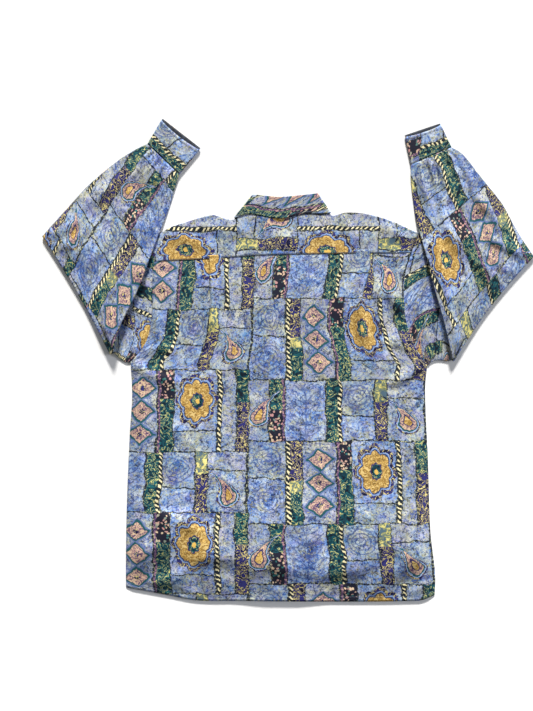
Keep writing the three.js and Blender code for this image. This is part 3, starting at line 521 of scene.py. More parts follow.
def make_mesh(name, points, faces, materials):
    """A smooth mesh of points in millimetres."""
    mesh = bpy.data.meshes.new(name)
    mesh.from_pydata((points * MM).tolist(), [], faces)
    for material in materials:
        mesh.materials.append(MATERIALS[material])
    mesh.shade_smooth()
    return mesh


def surface_normals(mid, outside, closed):
    if closed:
        mid = np.concatenate([mid[:, -1:], mid, mid[:, :1]], axis=1)
    normal = np.cross(np.gradient(mid, axis=1), np.gradient(mid, axis=0))
    if closed:
        normal = normal[:, 1:-1]
    return outside * unit(normal + 1e-12)


def wall_faces(shape, closed, keep, flip):
    """Faces of a thin wall on a grid: its outer side, then its inner side, then its rims."""
    count = shape[0] * shape[1]
    number = np.arange(count).reshape(shape)
    if closed:
        number = np.concatenate([number, number[:, :1]], axis=1)
    quads = np.stack([number[:-1, :-1], number[:-1, 1:], number[1:, 1:], number[1:, :-1]], axis=-1)
    quads = quads.reshape(-1, 4) if keep is None else quads[keep]
    if flip:
        quads = quads[:, ::-1]
    edges = np.concatenate([quads[:, [k, (k + 1) % 4]] for k in range(4)])
    order = np.sort(edges, axis=1)
    _, first, uses = np.unique(order[:, 0] * count + order[:, 1], return_index=True, return_counts=True)
    rim = edges[first[uses == 1]]
    rims = np.stack([rim[:, 1], rim[:, 0], rim[:, 0] + count, rim[:, 1] + count], axis=1)
    return np.concatenate([quads, quads[:, ::-1] + count, rims]), len(quads)


def corner_points(mesh):
    """The number of the point at each corner of the faces."""
    index = np.empty(len(mesh.loops), int)
    mesh.loops.foreach_get("vertex_index", index)
    return index


def drop_loose_points(mesh):
    """Removes the grid points that no face uses."""
    used = np.zeros(len(mesh.vertices), bool)
    used[corner_points(mesh)] = True
    if used.all():
        return
    work = bmesh.new()
    work.from_mesh(mesh)
    work.verts.ensure_lookup_table()
    bmesh.ops.delete(work, geom=[work.verts[k] for k in np.flatnonzero(~used)], context="VERTS")
    work.to_mesh(mesh)
    work.free()


Shell = namedtuple("Shell", "piece mid normal wall")


def cloth_shell(name, mid, cut, outside=1, wall=CLOTH, closed=False, keep=None):
    """A thin closed wall on a grid of points. Its outer side has the print, and its inner side the
    reverse of it, or, where the piece is made of two layers, painted shade: a flat dark colour that
    stands in for the shade inside the collar, placket and cuffs."""
    normal = surface_normals(mid, outside, closed)
    points = np.concatenate([mid + normal * wall / 2, mid - normal * wall / 2]).reshape(-1, 3)
    points[:, 2] = np.maximum(points[:, 2], 0)
    faces, outer = wall_faces(mid.shape[:2], closed, keep, outside < 0)
    # The thicker pieces get painted shade on their inner side: a dark colour that stands in for the shade
    # inside them.
    mesh = make_mesh(name, points, faces.tolist(), ["print", "reverse" if wall == CLOTH else "painted_shade_facing"])
    plan = np.concatenate([cut, cut]).reshape(-1, 2)[corner_points(mesh)]
    mesh.uv_layers.new(name="cut").data.foreach_set("uv", plan.astype(np.float32).ravel())
    inner = np.zeros(len(faces), int)
    inner[outer : 2 * outer] = 1
    mesh.polygons.foreach_set("material_index", inner)
    drop_loose_points(mesh)
    return Shell(place_object(name, mesh), mid, normal, wall)


# Colour and materials.


def paint(code):
    """An sRGB hex colour as linear red, green, blue and alpha."""
    parts = [int(code[k : k + 2], 16) / 255 for k in (1, 3, 5)]
    linear = [part / 12.92 if part <= 0.04045 else ((part + 0.055) / 1.055) ** 2.4 for part in parts]
    return (*linear, 1.0)


def add(tree, kind, *values, output=0, at=None, stops=(), **named):
    """Adds a node. kind is its type, with its operation after a space. values go to its first inputs,
    at has inputs by number, and a name with a capital is an input too. Other names are its settings,
    and stops are the places and colours of a colour ramp. A socket is linked and a value is set."""
    kind, _, operation = kind.partition(" ")
    new = tree.nodes.new("ShaderNode" + kind)
    if operation:
        new.operation = operation
    inputs = dict(enumerate(values)) | (at or {})
    for name, value in named.items():
        if name[0].isupper():
            inputs[name] = value
        else:
            setattr(new, name, value)
    for key, value in inputs.items():
        if isinstance(value, bpy.types.NodeSocket):
            tree.links.new(value, new.inputs[key])
        else:
            new.inputs[key].default_value = value
    if stops:
        set_stops(new.color_ramp, stops)
    return new.outputs[output]


def set_stops(band, stops):
    band.interpolation = "EASE"
    while len(band.elements) < len(stops):
        band.elements.new(0.5)
    for element, (place, code) in zip(band.elements, stops):
        element.position = place
        element.color = paint(code)


def lay_over(tree, colour, layers):
    """Lays colours over one another. Each layer has the share that it covers, and its colour."""
    for share, above in layers:
        above = paint(above) if isinstance(above, str) else above
        colour = add(tree, "Mix", share, at={6: colour, 7: above}, output=2, data_type="RGBA")
    return colour


# The print: one repeat of its layout in millimetres, each next repeat across set half a repeat lower.
# Its blocks stand in two storeys of unlike heights, with their bands in other places. A block has
# its left, right, bottom and top edge and its fill.
REPEAT = (352, 296)
HALF_DROP = REPEAT[1] / 2
LAYOUT = [
    (0, 76, 0, 92, "sky"),
    (0, 76, 92, 170, "slate"),
    (76, 83, 0, 170, "rope"),
    (83, 106, 0, 66, "foliage"),
    (83, 106, 66, 88, "olive"),
    (83, 106, 88, 170, "twigs"),
    (106, 174, 0, 170, "mist"),
    (174, 178, 0, 170, "line"),
    (178, 204, 0, 110, "foliage"),
    (178, 204, 110, 170, "beads"),
    (204, 292, 0, 42, "slate"),
    (204, 292, 42, 170, "sky"),
    (292, 298, 0, 170, "rope"),
    (298, 330, 0, 170, "mist"),
    (330, 352, 0, 104, "twigs"),
    (330, 352, 104, 170, "foliage"),
    (0, 44, 170, 296, "mist"),
    (44, 68, 170, 236, "beads"),
    (44, 68, 236, 296, "foliage"),
    (68, 72, 170, 296, "line"),
    (72, 156, 170, 296, "sky"),
    (156, 178, 170, 296, "foliage"),
    (178, 184, 170, 296, "rope"),
    (184, 252, 170, 222, "sky"),
    (184, 252, 222, 296, "slate"),
    (252, 274, 170, 250, "twigs"),
    (252, 274, 250, 296, "olive"),
    (274, 352, 170, 258, "slate"),
    (274, 352, 258, 296, "mist"),
]
# Washed grounds, from their dark to their light tones.
GROUNDS = {
    "sky": [(0.02, "#0e2a66"), (0.16, "#3862b0"), (0.36, "#6b92ce"), (0.6, "#98b2dc"), (0.95, "#c1cedb")],
    "slate": [(0.02, "#152c48"), (0.16, "#4a6c92"), (0.36, "#7995b4"), (0.6, "#a0b3c2"), (0.95, "#c5cbbd")],
    "mist": [(0.02, "#232e54"), (0.16, "#5f739c"), (0.36, "#8b9cb8"), (0.6, "#abb4c1"), (0.95, "#cbccba")],
}
# The washes: the size of the blotches, how far they, the bristles and the specks change the tone,
# and the levels taken off it.
BLOTCH = 36
BLOTCHES = 3.8
BRISTLES = 0.7
SPECKS = 1.7
BLOTCH_LEVEL = 1.6
WASH_LEVEL = 1.02
# Tints that lie over the washes in places: the size of the places, from which level of the noise on
# they show, and the colour. Each has its noise shifted, so that no two fall together.
TINTS = [(31, 0.52, "#9c96c8"), (24, 0.56, "#a6a884"), (52, 0.54, "#4f86c4")]
TINT_SHIFT = (97, -211)
TINT_EDGE = (-0.06, 0.12)
TINT_STRENGTH = 0.55
# Brush lines that wander over the grounds: the size of their loops, the level of the noise that they
# follow, how wide they are there, their colour, and how strong.
STROKES = [
    (44, 0.42, 0.030, "#97955a", 0.7),
    (30, 0.56, 0.024, "#2a4fa6", 0.8),
    (22, 0.46, 0.018, "#5d5470", 0.8),
    (17, 0.53, 0.016, "#b9b36a", 0.8),
    (27, 0.41, 0.020, "#0e1c30", 0.85),
    (14, 0.57, 0.018, "#22408c", 0.75),
    (12, 0.45, 0.014, "#c3c9bd", 0.7),
    (20, 0.61, 0.018, "#122032", 0.85),
    (10, 0.55, 0.018, "#2b3f74", 0.8),
]
STROKE_SHIFT = (311, 173)
DRY_BRUSH = 0.2  # how much of a stroke is left where the brush ran dry
WET_TO_DRY = (0.44, 0.58)
# Small patterns of the bands and the motifs: what they follow, and their colours.
PATTERNS = {
    "foliage": ("leaf", [
        (0.34, "#081422"), (0.43, "#0c3542"), (0.5, "#124e57"), (0.545, "#1c6466"), (0.565, "#c2bc6c"),
        (0.582, "#d6ce80"), (0.6, "#11454e"),
    ]),
    "twigs": ("leaf", [
        (0.3, "#0b0b22"), (0.42, "#181a48"), (0.455, "#202252"), (0.475, "#dccd86"), (0.5, "#cfc074"),
        (0.52, "#201f52"), (0.62, "#2c2d6a"),
    ]),
    "olive": ("leaf", [
        (0.36, "#4c6474"), (0.45, "#8d9268"), (0.5, "#3f5f6a"), (0.54, "#bdb668"), (0.62, "#d8cd84"),
    ]),
    "gold": ("scroll", [
        (0.36, "#cfac62"), (0.44, "#ad8743"), (0.49, "#5d4727"), (0.53, "#b8934e"), (0.62, "#dabe7c"),
    ]),
    "peach": ("scroll", [
        (0.4, "#c7a893"), (0.46, "#6b4d68"), (0.5, "#352f5c"), (0.54, "#a98881"), (0.6, "#cfb496"),
    ]),
    "rope": ("twist", [(0.0, "#15202b"), (0.25, "#223541"), (0.4, "#d9cd92"), (0.8, "#e8ddb2")]),
    "line": ("fine", [(0.38, "#26244a"), (0.5, "#5b4468"), (0.62, "#c09a92")]),
}
ROPE_TWIST = 10
ROPE_SLANT = 0.8
BEAD = 6
BEAD_EDGE = (0.38, 0.46)
BEAD_COLOURS = [(0.2, "#b98a88"), (0.5, "#d6bd9e"), (0.8, "#2f6a6a")]
# The motifs, and their fills from the outside in, each with how far it reaches.
Flower = namedtuple("Flower", "u v radius tall petals scallop")
FLOWER = Flower(249, 107, 31, 1.42, 8, 0.17)
FLOWER_RINGS = [
    (1.34, "twigs"), (1.14, "#7f98c6"), (1.07, "#2c3c60"), (1.0, "gold"), (0.42, "#3a3462"),
    (0.36, "foliage"), (0.14, "#dcb65c"),
]
Drop = namedtuple("Drop", "u v radius tail curl")
DROPS = [Drop(20, 220, 16, 44, 66), Drop(316, 205, 17, 40, -60)]
DROP_RINGS = [
    (1.4, "twigs"), (1.2, "#93a9cf"), (1.08, "#1d5057"), (0.9, "peach"), (0.5, "#2f2d5c"), (0.38, "gold"),
]
DROP_TIP = 0.3
Chain = namedtuple("Chain", "u v half_width half_height step count margin")
LOZENGES = Chain(140, 84, 25, 21, 48, 3, 5)
LOZENGE_RINGS = [(1.3, "#5d6f9c"), (1.14, "#1d5057"), (0.92, "peach"), (0.3, "twigs")]
Spray = namedtuple("Spray", "u v leaf leaf_at step slope half_width half_height stem line")
SPRAY = Spray(114, 233, 12, 15, 24, -0.7, 34, 58, 1.6, 0.22)
RINGS = [(38, 46, 34), (218, 260, 30), (38, 130, 30)]
RING_STEP = 8.0
RING_LINE = 0.45
QUIET = 0.6
QUIET_INK = "#2a4380"
# Brush lines round the blocks: how far in from each edge, and their ink from wet to dry.
EDGE_LINE = (2, -3.4, 1.6, -1.2)
EDGE_INK = [(0.48, "#060d18"), (0.55, "#12293e"), (0.59, "#9a9a6c"), (0.68, "#c2c4a6")]
EDGE_STRENGTH = 0.95
# How far the hand-drawn edges waver, by the size of the waves.
WAVER = [(38, 13), (9, 5), (3, 3)]


def rectangle(tree, u, v, left, right, bottom, top):
    """1 inside a rectangle of the repeat and 0 outside."""
    across = add(tree, "Math COMPARE", u, (left + right) / 2, (right - left) / 2)
    along = add(tree, "Math COMPARE", v, (bottom + top) / 2, (top - bottom) / 2)
    return add(tree, "Math MULTIPLY", across, along)


def cloth_places(tree):
    """Places on the flat cloth: with hand-drawn wobbly edges, and as drawn on the straight."""
    cut = add(tree, "UVMap", uv_map="cut")
    drawn = cut
    for size, reach in WAVER:
        noise = add(tree, "TexNoise", Vector=cut, Scale=1 / size, Detail=1.0, output=1)
        noise = add(tree, "VectorMath SUBTRACT", noise, (0.5, 0.5, 0.5))
        drawn = add(tree, "VectorMath MULTIPLY_ADD", noise, (reach, reach, 0), drawn)
    return drawn, cut


def repeat_places(tree, drawn):
    """Places inside one repeat of the layout, across and along."""
    split = add(tree, "SeparateXYZ", drawn).node
    across = add(tree, "Math FLOORED_MODULO", split.outputs[0], REPEAT[0])
    count = add(tree, "Math FLOOR", add(tree, "Math DIVIDE", split.outputs[0], REPEAT[0]))
    dropped = add(tree, "Math MULTIPLY_ADD", count, HALF_DROP, split.outputs[1])
    return across, add(tree, "Math FLOORED_MODULO", dropped, REPEAT[1])


def shifted_noise(tree, cut, shift, size, **detail):
    place = add(tree, "VectorMath ADD", cut, (*shift, 0))
    return add(tree, "TexNoise", Vector=place, Scale=1 / size, **detail)


def wave(tree, value, step):
    """A wave from -1 to 1 that comes back at each step."""
    return add(tree, "Math SINE", add(tree, "Math MULTIPLY", value, 2 * math.pi / step))


def distance(tree, x, y):
    return add(tree, "VectorMath LENGTH", add(tree, "CombineXYZ", x, y), output=1)


def from_middle(tree, value, step):
    """The place from the middle of each step."""
    place = add(tree, "Math FLOORED_MODULO", value, step)
    return add(tree, "Math SUBTRACT", place, step / 2)


def wash_tone(tree, cut, fine):
    """How light the wash is: broad blotches, the streaks of a brush 3 mm wide, and fine specks."""
    blotch = add(tree, "TexNoise", Vector=cut, Scale=1 / BLOTCH, Detail=6.0, Roughness=0.62, Distortion=1.2)
    tone = add(tree, "Math MULTIPLY_ADD", blotch, BLOTCHES, -BLOTCH_LEVEL)
    long_way = add(tree, "VectorMath MULTIPLY", cut, (1 / 3, 1 / 15, 1))
    bristle = add(tree, "TexNoise", Vector=long_way, Scale=1.0, Detail=3.0, Roughness=0.6)
    tone = add(tree, "Math MULTIPLY_ADD", bristle, BRISTLES, tone)
    tone = add(tree, "Math MULTIPLY_ADD", fine, SPECKS, tone)
    return add(tree, "Math SUBTRACT", tone, WASH_LEVEL)


def washes(tree, cut, fine):
    """Watercolour grounds, with tints over them in places and brush lines that wander over both."""
    tone = wash_tone(tree, cut, fine)
    layers = []
    for count, (size, level, colour) in enumerate(TINTS):
        shift = (count * TINT_SHIFT[0], count * TINT_SHIFT[1])
        noise = shifted_noise(tree, cut, shift, size, Detail=4.0, Roughness=0.6)
        edge = (level + TINT_EDGE[0], level + TINT_EDGE[1])
        layers.append((add(tree, "MapRange", noise, *edge, 0.0, TINT_STRENGTH), colour))
    for count, (size, level, width, colour, strength) in enumerate(STROKES):
        shift = (count * STROKE_SHIFT[0], count * STROKE_SHIFT[1])
        noise = shifted_noise(tree, cut, shift, size, Detail=2.0, Distortion=1.4)
        line = add(tree, "Math COMPARE", noise, level, width)
        dry = add(tree, "MapRange", fine, *WET_TO_DRY, strength, DRY_BRUSH)
        layers.append((add(tree, "Math MULTIPLY", line, dry), colour))
    grounds = {name: add(tree, "ValToRGB", tone, stops=stops) for name, stops in GROUNDS.items()}
    return {name: lay_over(tree, ground, layers) for name, ground in grounds.items()}


def small_patterns(tree, drawn, fine):
    """The small all-over patterns that fill the narrow bands and the motifs."""
    split = add(tree, "SeparateXYZ", drawn).node
    slant = add(tree, "Math MULTIPLY_ADD", split.outputs[0], ROPE_SLANT, split.outputs[1])
    followed = {
        "leaf": add(tree, "TexNoise", Vector=drawn, Scale=1 / 15, Detail=1.5, Distortion=2.4),
        "scroll": add(tree, "TexNoise", Vector=drawn, Scale=1 / 12, Detail=2.0, Distortion=2.6),
        "twist": wave(tree, slant, ROPE_TWIST),
        "fine": fine,
    }
    fills = {name: add(tree, "ValToRGB", followed[by], stops=stops) for name, (by, stops) in PATTERNS.items()}
    grain = add(tree, "TexVoronoi", Vector=drawn, Scale=1 / BEAD, Randomness=0.9).node
    bead = add(tree, "MapRange", grain.outputs[0], *BEAD_EDGE, 1.0, 0.0)
    tint = add(tree, "ValToRGB", grain.outputs[1], stops=BEAD_COLOURS)
    fills["beads"] = lay_over(tree, paint("#191b2b"), [(bead, tint)])
    return fills


def inlay(tree, colour, away, rings, fills, scale=1, block=None):
    """Lays the fills of a motif over one another, each out to its own reach, inside its block."""
    for reach, fill in rings:
        near = add(tree, "Math LESS_THAN", away, reach * scale)
        if block:
            near = add(tree, "Math MULTIPLY", near, block)
        colour = lay_over(tree, colour, [(near, fills.get(fill, fill))])
    return colour


def flower(tree, across, along, fills, colour):
    """A gold flower with round petals, a pale edge and an indigo cloud behind it."""
    x = add(tree, "Math SUBTRACT", across, FLOWER.u)
    y = add(tree, "Math DIVIDE", add(tree, "Math SUBTRACT", along, FLOWER.v), FLOWER.tall)
    turn = add(tree, "Math MULTIPLY", add(tree, "Math ARCTAN2", y, x), FLOWER.petals / 2)
    lobe = add(tree, "Math ABSOLUTE", add(tree, "Math COSINE", turn))
    edge = add(tree, "Math MULTIPLY_ADD", lobe, FLOWER.scallop, 1 - FLOWER.scallop)
    share = add(tree, "Math DIVIDE", distance(tree, x, y), edge)
    share = add(tree, "Math DIVIDE", share, FLOWER.radius)
    return inlay(tree, colour, share, FLOWER_RINGS, fills)


def paisley(tree, across, along, row, fills, colour):
    """A scrolled drop whose tail curls over, on a darker edge."""
    y = add(tree, "Math SUBTRACT", along, row.v)
    up = add(tree, "Math MAXIMUM", y, 0.0)
    down = add(tree, "Math MINIMUM", y, 0.0)
    bend = add(tree, "Math MULTIPLY_ADD", add(tree, "Math MULTIPLY", up, up), 1 / row.curl, row.u)
    narrow = add(tree, "MapRange", up, 0.0, row.tail, 1.0, DROP_TIP)
    x = add(tree, "Math DIVIDE", add(tree, "Math SUBTRACT", across, bend), narrow)
    y = add(tree, "Math MULTIPLY_ADD", up, row.radius / row.tail, down)
    return inlay(tree, colour, distance(tree, x, y), DROP_RINGS, fills, scale=row.radius)


def lozenges(tree, across, along, fills, colour):
    """A short chain of scrolled lozenges with a dark green outline, on a shaded ground."""
    row = LOZENGES
    reach = row.step * row.count / 2
    wide = row.half_width + row.margin
    block = rectangle(tree, across, along, row.u - wide, row.u + wide, row.v - reach, row.v + reach)
    x = add(tree, "Math ABSOLUTE", add(tree, "Math SUBTRACT", across, row.u))
    y = from_middle(tree, add(tree, "Math SUBTRACT", along, row.v - reach), row.step)
    x = add(tree, "Math DIVIDE", x, row.half_width)
    away = add(tree, "Math MULTIPLY_ADD", add(tree, "Math ABSOLUTE", y), 1 / row.half_height, x)
    return inlay(tree, colour, away, LOZENGE_RINGS, fills, block=block)


def spray_lines(tree, across, along):
    """1 on the lines of a spray of leaves up a stem, and 0 beside them."""
    row = SPRAY
    x = add(tree, "Math ABSOLUTE", add(tree, "Math SUBTRACT", across, row.u))
    y = from_middle(tree, add(tree, "Math MULTIPLY_ADD", x, row.slope, along), row.step)
    leaf_x = add(tree, "Math MULTIPLY", add(tree, "Math SUBTRACT", x, row.leaf_at), 1 / row.leaf)
    leaf_y = add(tree, "Math MULTIPLY", y, 2 / row.leaf)
    leaf = add(tree, "Math COMPARE", distance(tree, leaf_x, leaf_y), 1.0, row.line)
    stem = add(tree, "Math LESS_THAN", x, row.stem)
    edges = (row.u - row.half_width, row.u + row.half_width, row.v - row.half_height, row.v + row.half_height)
    block = rectangle(tree, across, along, *edges)
    return add(tree, "Math MULTIPLY", add(tree, "Math MAXIMUM", leaf, stem), block)


def tone_lines(tree, across, along, colour):
    """Quiet drawing on the grounds: the spray of leaves, and sets of rings."""
    lines = spray_lines(tree, across, along)
    for u, v, reach in RINGS:
        x, y = add(tree, "Math SUBTRACT", across, u), add(tree, "Math SUBTRACT", along, v)
        away = distance(tree, x, y)
        ring = add(tree, "Math GREATER_THAN", wave(tree, away, RING_STEP), RING_LINE)
        near = add(tree, "Math LESS_THAN", away, reach)
        lines = add(tree, "Math MAXIMUM", lines, add(tree, "Math MULTIPLY", ring, near))
    return lay_over(tree, colour, [(add(tree, "Math MULTIPLY", lines, QUIET), QUIET_INK)])


def block_edges(tree, across, along, fine, colour):
    """Broken brush lines round the blocks, navy where they are wet and olive or cream where dry."""
    edges = None
    for *sides, fill in LAYOUT:
        if fill not in GROUNDS:
            continue
        inner = rectangle(tree, across, along, *(side + inset for side, inset in zip(sides, EDGE_LINE)))
        edge = add(tree, "Math SUBTRACT", rectangle(tree, across, along, *sides), inner)
        edges = add(tree, "Math MAXIMUM", edges, edge) if edges else edge
    ink = add(tree, "ValToRGB", fine, stops=EDGE_INK)
    return lay_over(tree, colour, [(add(tree, "Math MULTIPLY", edges, EDGE_STRENGTH), ink)])


def printed_colour(tree):
    """The whole print on the flat cloth."""
    drawn, cut = cloth_places(tree)
    across, along = repeat_places(tree, drawn)
    fine = add(tree, "TexNoise", Vector=cut, Scale=1 / 5, Detail=4.0, Roughness=0.7)
    fills = {**washes(tree, cut, fine), **small_patterns(tree, drawn, fine)}
    blocks = [(rectangle(tree, across, along, *sides), fills[fill]) for *sides, fill in LAYOUT]
    colour = lay_over(tree, fills["slate"], blocks)
    colour = tone_lines(tree, across, along, colour)
    colour = block_edges(tree, across, along, fine, colour)
    colour = lozenges(tree, across, along, fills, colour)
    colour = flower(tree, across, along, fills, colour)
    for row in DROPS:
        colour = paisley(tree, across, along, row, fills, colour)
    return colour, cut


# Threads of the plain weave, 0.4 mm apart on the real cloth, drawn 1.1 mm apart so that they show.
THREAD = 1.1


def weave_bump(tree, cut):
    """The crossing threads, with the slubs of a spun yarn in them."""
    split = add(tree, "SeparateXYZ", cut).node
    waves = [wave(tree, split.outputs[axis], THREAD) for axis in (0, 1)]
    slub = add(tree, "TexNoise", Vector=cut, Scale=1 / 7, Detail=4.0, Roughness=0.6)
    height = add(tree, "Math MULTIPLY_ADD", add(tree, "Math MULTIPLY", *waves), 0.12, slub)
    return add(tree, "Bump", Strength=0.35, Distance=0.0006, Height=height)


def cloudy(tree, place, size, stops, **detail):
    """A colour that drifts between stops, size being that of its clouds."""
    return add(tree, "ValToRGB", add(tree, "TexNoise", Vector=place, Scale=1 / size, **detail), stops=stops)


def rayon_print(tree):
    """Rayon challis, plain woven and pigment printed: soft and nearly matt, as its spun fibres
    scatter most of the gloss, with a faint silky sheen where it turns away."""
    colour, cut = printed_colour(tree)
    look = {"Roughness": 0.7, "IOR": 1.46, "Specular IOR Level": 0.22, "Sheen Weight": 0.05}
    return {"Base Color": colour, "Normal": weave_bump(tree, cut), "Sheen Roughness": 0.4, **look}


def rayon_reverse(tree):
    """The wrong side of the same cloth: the print shows through, paler and softer."""
    colour, cut = printed_colour(tree)
    pale = lay_over(tree, colour, [(0.5, "#a9adb8")])
    return {"Base Color": pale, "Normal": weave_bump(tree, cut), "Roughness": 0.75, "IOR": 1.46}


def rayon_painted_shade_facing(tree):
    """Painted shade for the inner side of the collar, placket and cuffs: a near-black matt colour that stands
    in for the shade inside them, on the weave of the same rayon.
    """
    cut = add(tree, "UVMap", uv_map="cut")
    colour = cloudy(tree, cut, 9, [(0.35, "#10151f"), (0.65, "#27303f")], Detail=4.0)
    return {"Base Color": colour, "Normal": weave_bump(tree, cut), "Roughness": 0.75, "IOR": 1.46}


def sewing_thread(tree):
    """Spun polyester sewing thread, blue-grey: small matt fibres with a soft glint along the twist."""
    place = add(tree, "TexCoord", output=3)
    colour = cloudy(tree, place, 1 / 2500, [(0.3, "#5c6a86"), (0.7, "#8492ad")], Detail=2.0)
    return {"Base Color": colour, "Roughness": 0.55, "Sheen Weight": 0.2}


def polished_button(tree):
    """Cast polyester, polished, dark blue with a pearly cloud: a clean highlight with depth in it."""
    place = add(tree, "TexCoord", output=3)
    stops = [(0.35, "#27324c"), (0.6, "#44557a")]
    colour = cloudy(tree, place, 1 / 260, stops, Detail=3.0, Distortion=2.0)
    return {"Base Color": colour, "Roughness": 0.24, "IOR": 1.54, "Coat Weight": 0.3}


def painted_floor(tree):
    """A matt white painted studio floor."""
    place = add(tree, "TexCoord", output=3)
    colour = cloudy(tree, place, 1 / 1.5, [(0.3, "#f3f3f2"), (0.7, "#f8f8f7")], Detail=2.0)
    return {"Base Color": colour, "Roughness": 0.9}


def make_material(name, look):
    """A material whose look gives links or values for the sockets of its shader."""
    material = bpy.data.materials.new(name)
    material.use_nodes = True
    tree = material.node_tree
    shader = tree.nodes["Principled BSDF"]
    for socket, value in look(tree).items():
        if isinstance(value, bpy.types.NodeSocket):
            tree.links.new(value, shader.inputs[socket])
        else:
            shader.inputs[socket].default_value = value
    return material


MATERIALS = {
    "print": make_material("rayon_challis_printed", rayon_print),
    "reverse": make_material("rayon_challis_reverse", rayon_reverse),
    # Painted shade: a near-black colour for the inner side of the collar, placket and cuffs, in place of the
    # shade inside them.
    "painted_shade_facing": make_material("rayon_challis_painted_shade_facing", rayon_painted_shade_facing),
    "thread": make_material("polyester_sewing_thread", sewing_thread),
    "button": make_material("cast_polyester_polished", polished_button),
    "floor": make_material("studio_floor_white", painted_floor),
}

# Where each piece was cut from the printed cloth, as the place of its own zero on the repeat.
CUT_AT = {
    "back": (60, 40),
    "yoke": (20, 190),
    "front_left": (150, 60),
    "front_right": (230, 10),
    "placket": (118, 0),
    "sleeve_left": (40, 120),
    "sleeve_right": (190, 60),
    "cuff_left": (162, 75),
    "cuff_right": (160, 60),
    "collar_fall": (146, -110),
    "collar_stand": (10, 60),
}


def cut_places(name, across, along):
    u, v = CUT_AT[name]
    return np.stack([across + u, along + v], axis=-1)


def dress(shell, node):
    """Hangs a cloth piece on the root and hides the solid that it takes the place of."""
    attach(shell.piece, "root")
    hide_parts(node)
    return shell


def welt(distance, width=8, height=0.45):
    """The rise of cloth that is turned under along an edge."""
    return height * smooth(width + 1.5, width - 1, distance)


# The back panel. Its columns are places across the cloth, which goes under each pleat's fold, back
# out to it and on over itself. Its last rows are tucked under the yoke.
BACK_COLUMNS = (28, 4, 4, 78, 4, 4, 22)
BACK_SIDE_ROWS = 108
BACK_ARM_ROWS = 50
BACK_TUCK = (2.5, 5.0, 7.5)
BACK_HEM = 9
ARM_WELT = 8
SEAM_DIP = 0.5  # how far the back sinks to go under the yoke's edge
# How high the two hidden layers of a pleat lie, as shares of its step.
PLEAT_UNDER = 0.05
PLEAT_BACK = 0.5


def back_columns():
    """Places across the cloth of the back, the band that each is in, and how far across that it is."""
    left, right = PLEATS["left"], PLEATS["right"]
    seam_left, seam_right = (float(ARMHOLE[side](YOKE_ENDS[side])) for side in SIDES)
    widths = [left.x - seam_left, left.depth, left.depth, right.x - left.x]
    widths += [right.depth, right.depth, seam_right - right.x]
    starts = np.concatenate([[0], np.cumsum(widths)])
    spans = zip(starts[:-1], starts[1:], BACK_COLUMNS)
    cloth = np.concatenate([np.linspace(start, end, count, endpoint=False) for start, end, count in spans])
    cloth = np.append(cloth, starts[-1])
    band = np.append(np.repeat(np.arange(7), BACK_COLUMNS), 6)
    return cloth, band, (cloth - starts[band]) / np.array(widths)[band]


def back_edge(side, row):
    """Where the side seam and the armhole run, at each row of the back."""
    low = lerp(hem(HEM_ENDS[side]), UNDERARM[side][1], row / BACK_SIDE_ROWS)
    high = lerp(UNDERARM[side][1], YOKE_ENDS[side], (row - BACK_SIDE_ROWS) / BACK_ARM_ROWS)
    return np.where(row <= BACK_SIDE_ROWS, SIDE_LINE[side](low), ARMHOLE[side](high))


def back_y(row, x):
    """How far up each row of the back lies."""
    across = smooth(SIDE_LINE["left"](0), SIDE_LINE["right"](0), x)
    middle = lerp(UNDERARM["left"][1], UNDERARM["right"][1], across)
    low = lerp(hem(x), middle, row / BACK_SIDE_ROWS)
    high = lerp(middle, yoke_seam(x) - SEAM, (row - BACK_SIDE_ROWS) / BACK_ARM_ROWS)
    return np.where(row <= BACK_SIDE_ROWS, low, high)


def pleated_x(band, place, edge_left, edge_right):
    """Where each column lies when the pleats are laid in."""
    left, right = PLEATS["left"], PLEATS["right"]
    return np.choose(band, [
        lerp(edge_left, left.x, place),
        left.x + left.depth * place,
        left.x + left.depth * (1 - place),
        lerp(left.x, right.x, place),
        right.x - right.depth * place,
        right.x - right.depth * (1 - place),
        lerp(right.x, edge_right, place),
    ])


def pleat_lift(band, x):
    """How high each column lies when the pleats are laid in."""
    left, right = PLEATS["left"], PLEATS["right"]
    raised = left.step * bump(x, left.x, left.spread) + right.step * bump(x, right.x, right.spread)
    lifts = [0, PLEAT_UNDER * left.step, PLEAT_BACK * left.step, raised]
    return np.choose(band, lifts + [PLEAT_BACK * right.step, PLEAT_UNDER * right.step, 0])


def back_height(x, y, lift):
    """The height of the back, with its creases, its hem and the gathers along its seams."""
    from_hem, from_seam, from_arm = y - hem(x), yoke_seam(x) - y, armhole_distance(x, y)
    z = back_level(x, y) + lift + back_relief(x, y)
    z += welt(from_hem, BACK_HEM)
    z += pucker(from_hem - BACK_HEM, x, 3)
    z += pucker(from_seam, x, 4) * smooth(0, 12, from_seam)
    z -= SEAM_DIP * smooth(14, 2, from_seam)
    return z + (welt(from_arm, ARM_WELT, 0.7) * smooth(0, 1.5, from_arm) + pucker(from_arm - ARM_WELT, y, 12))


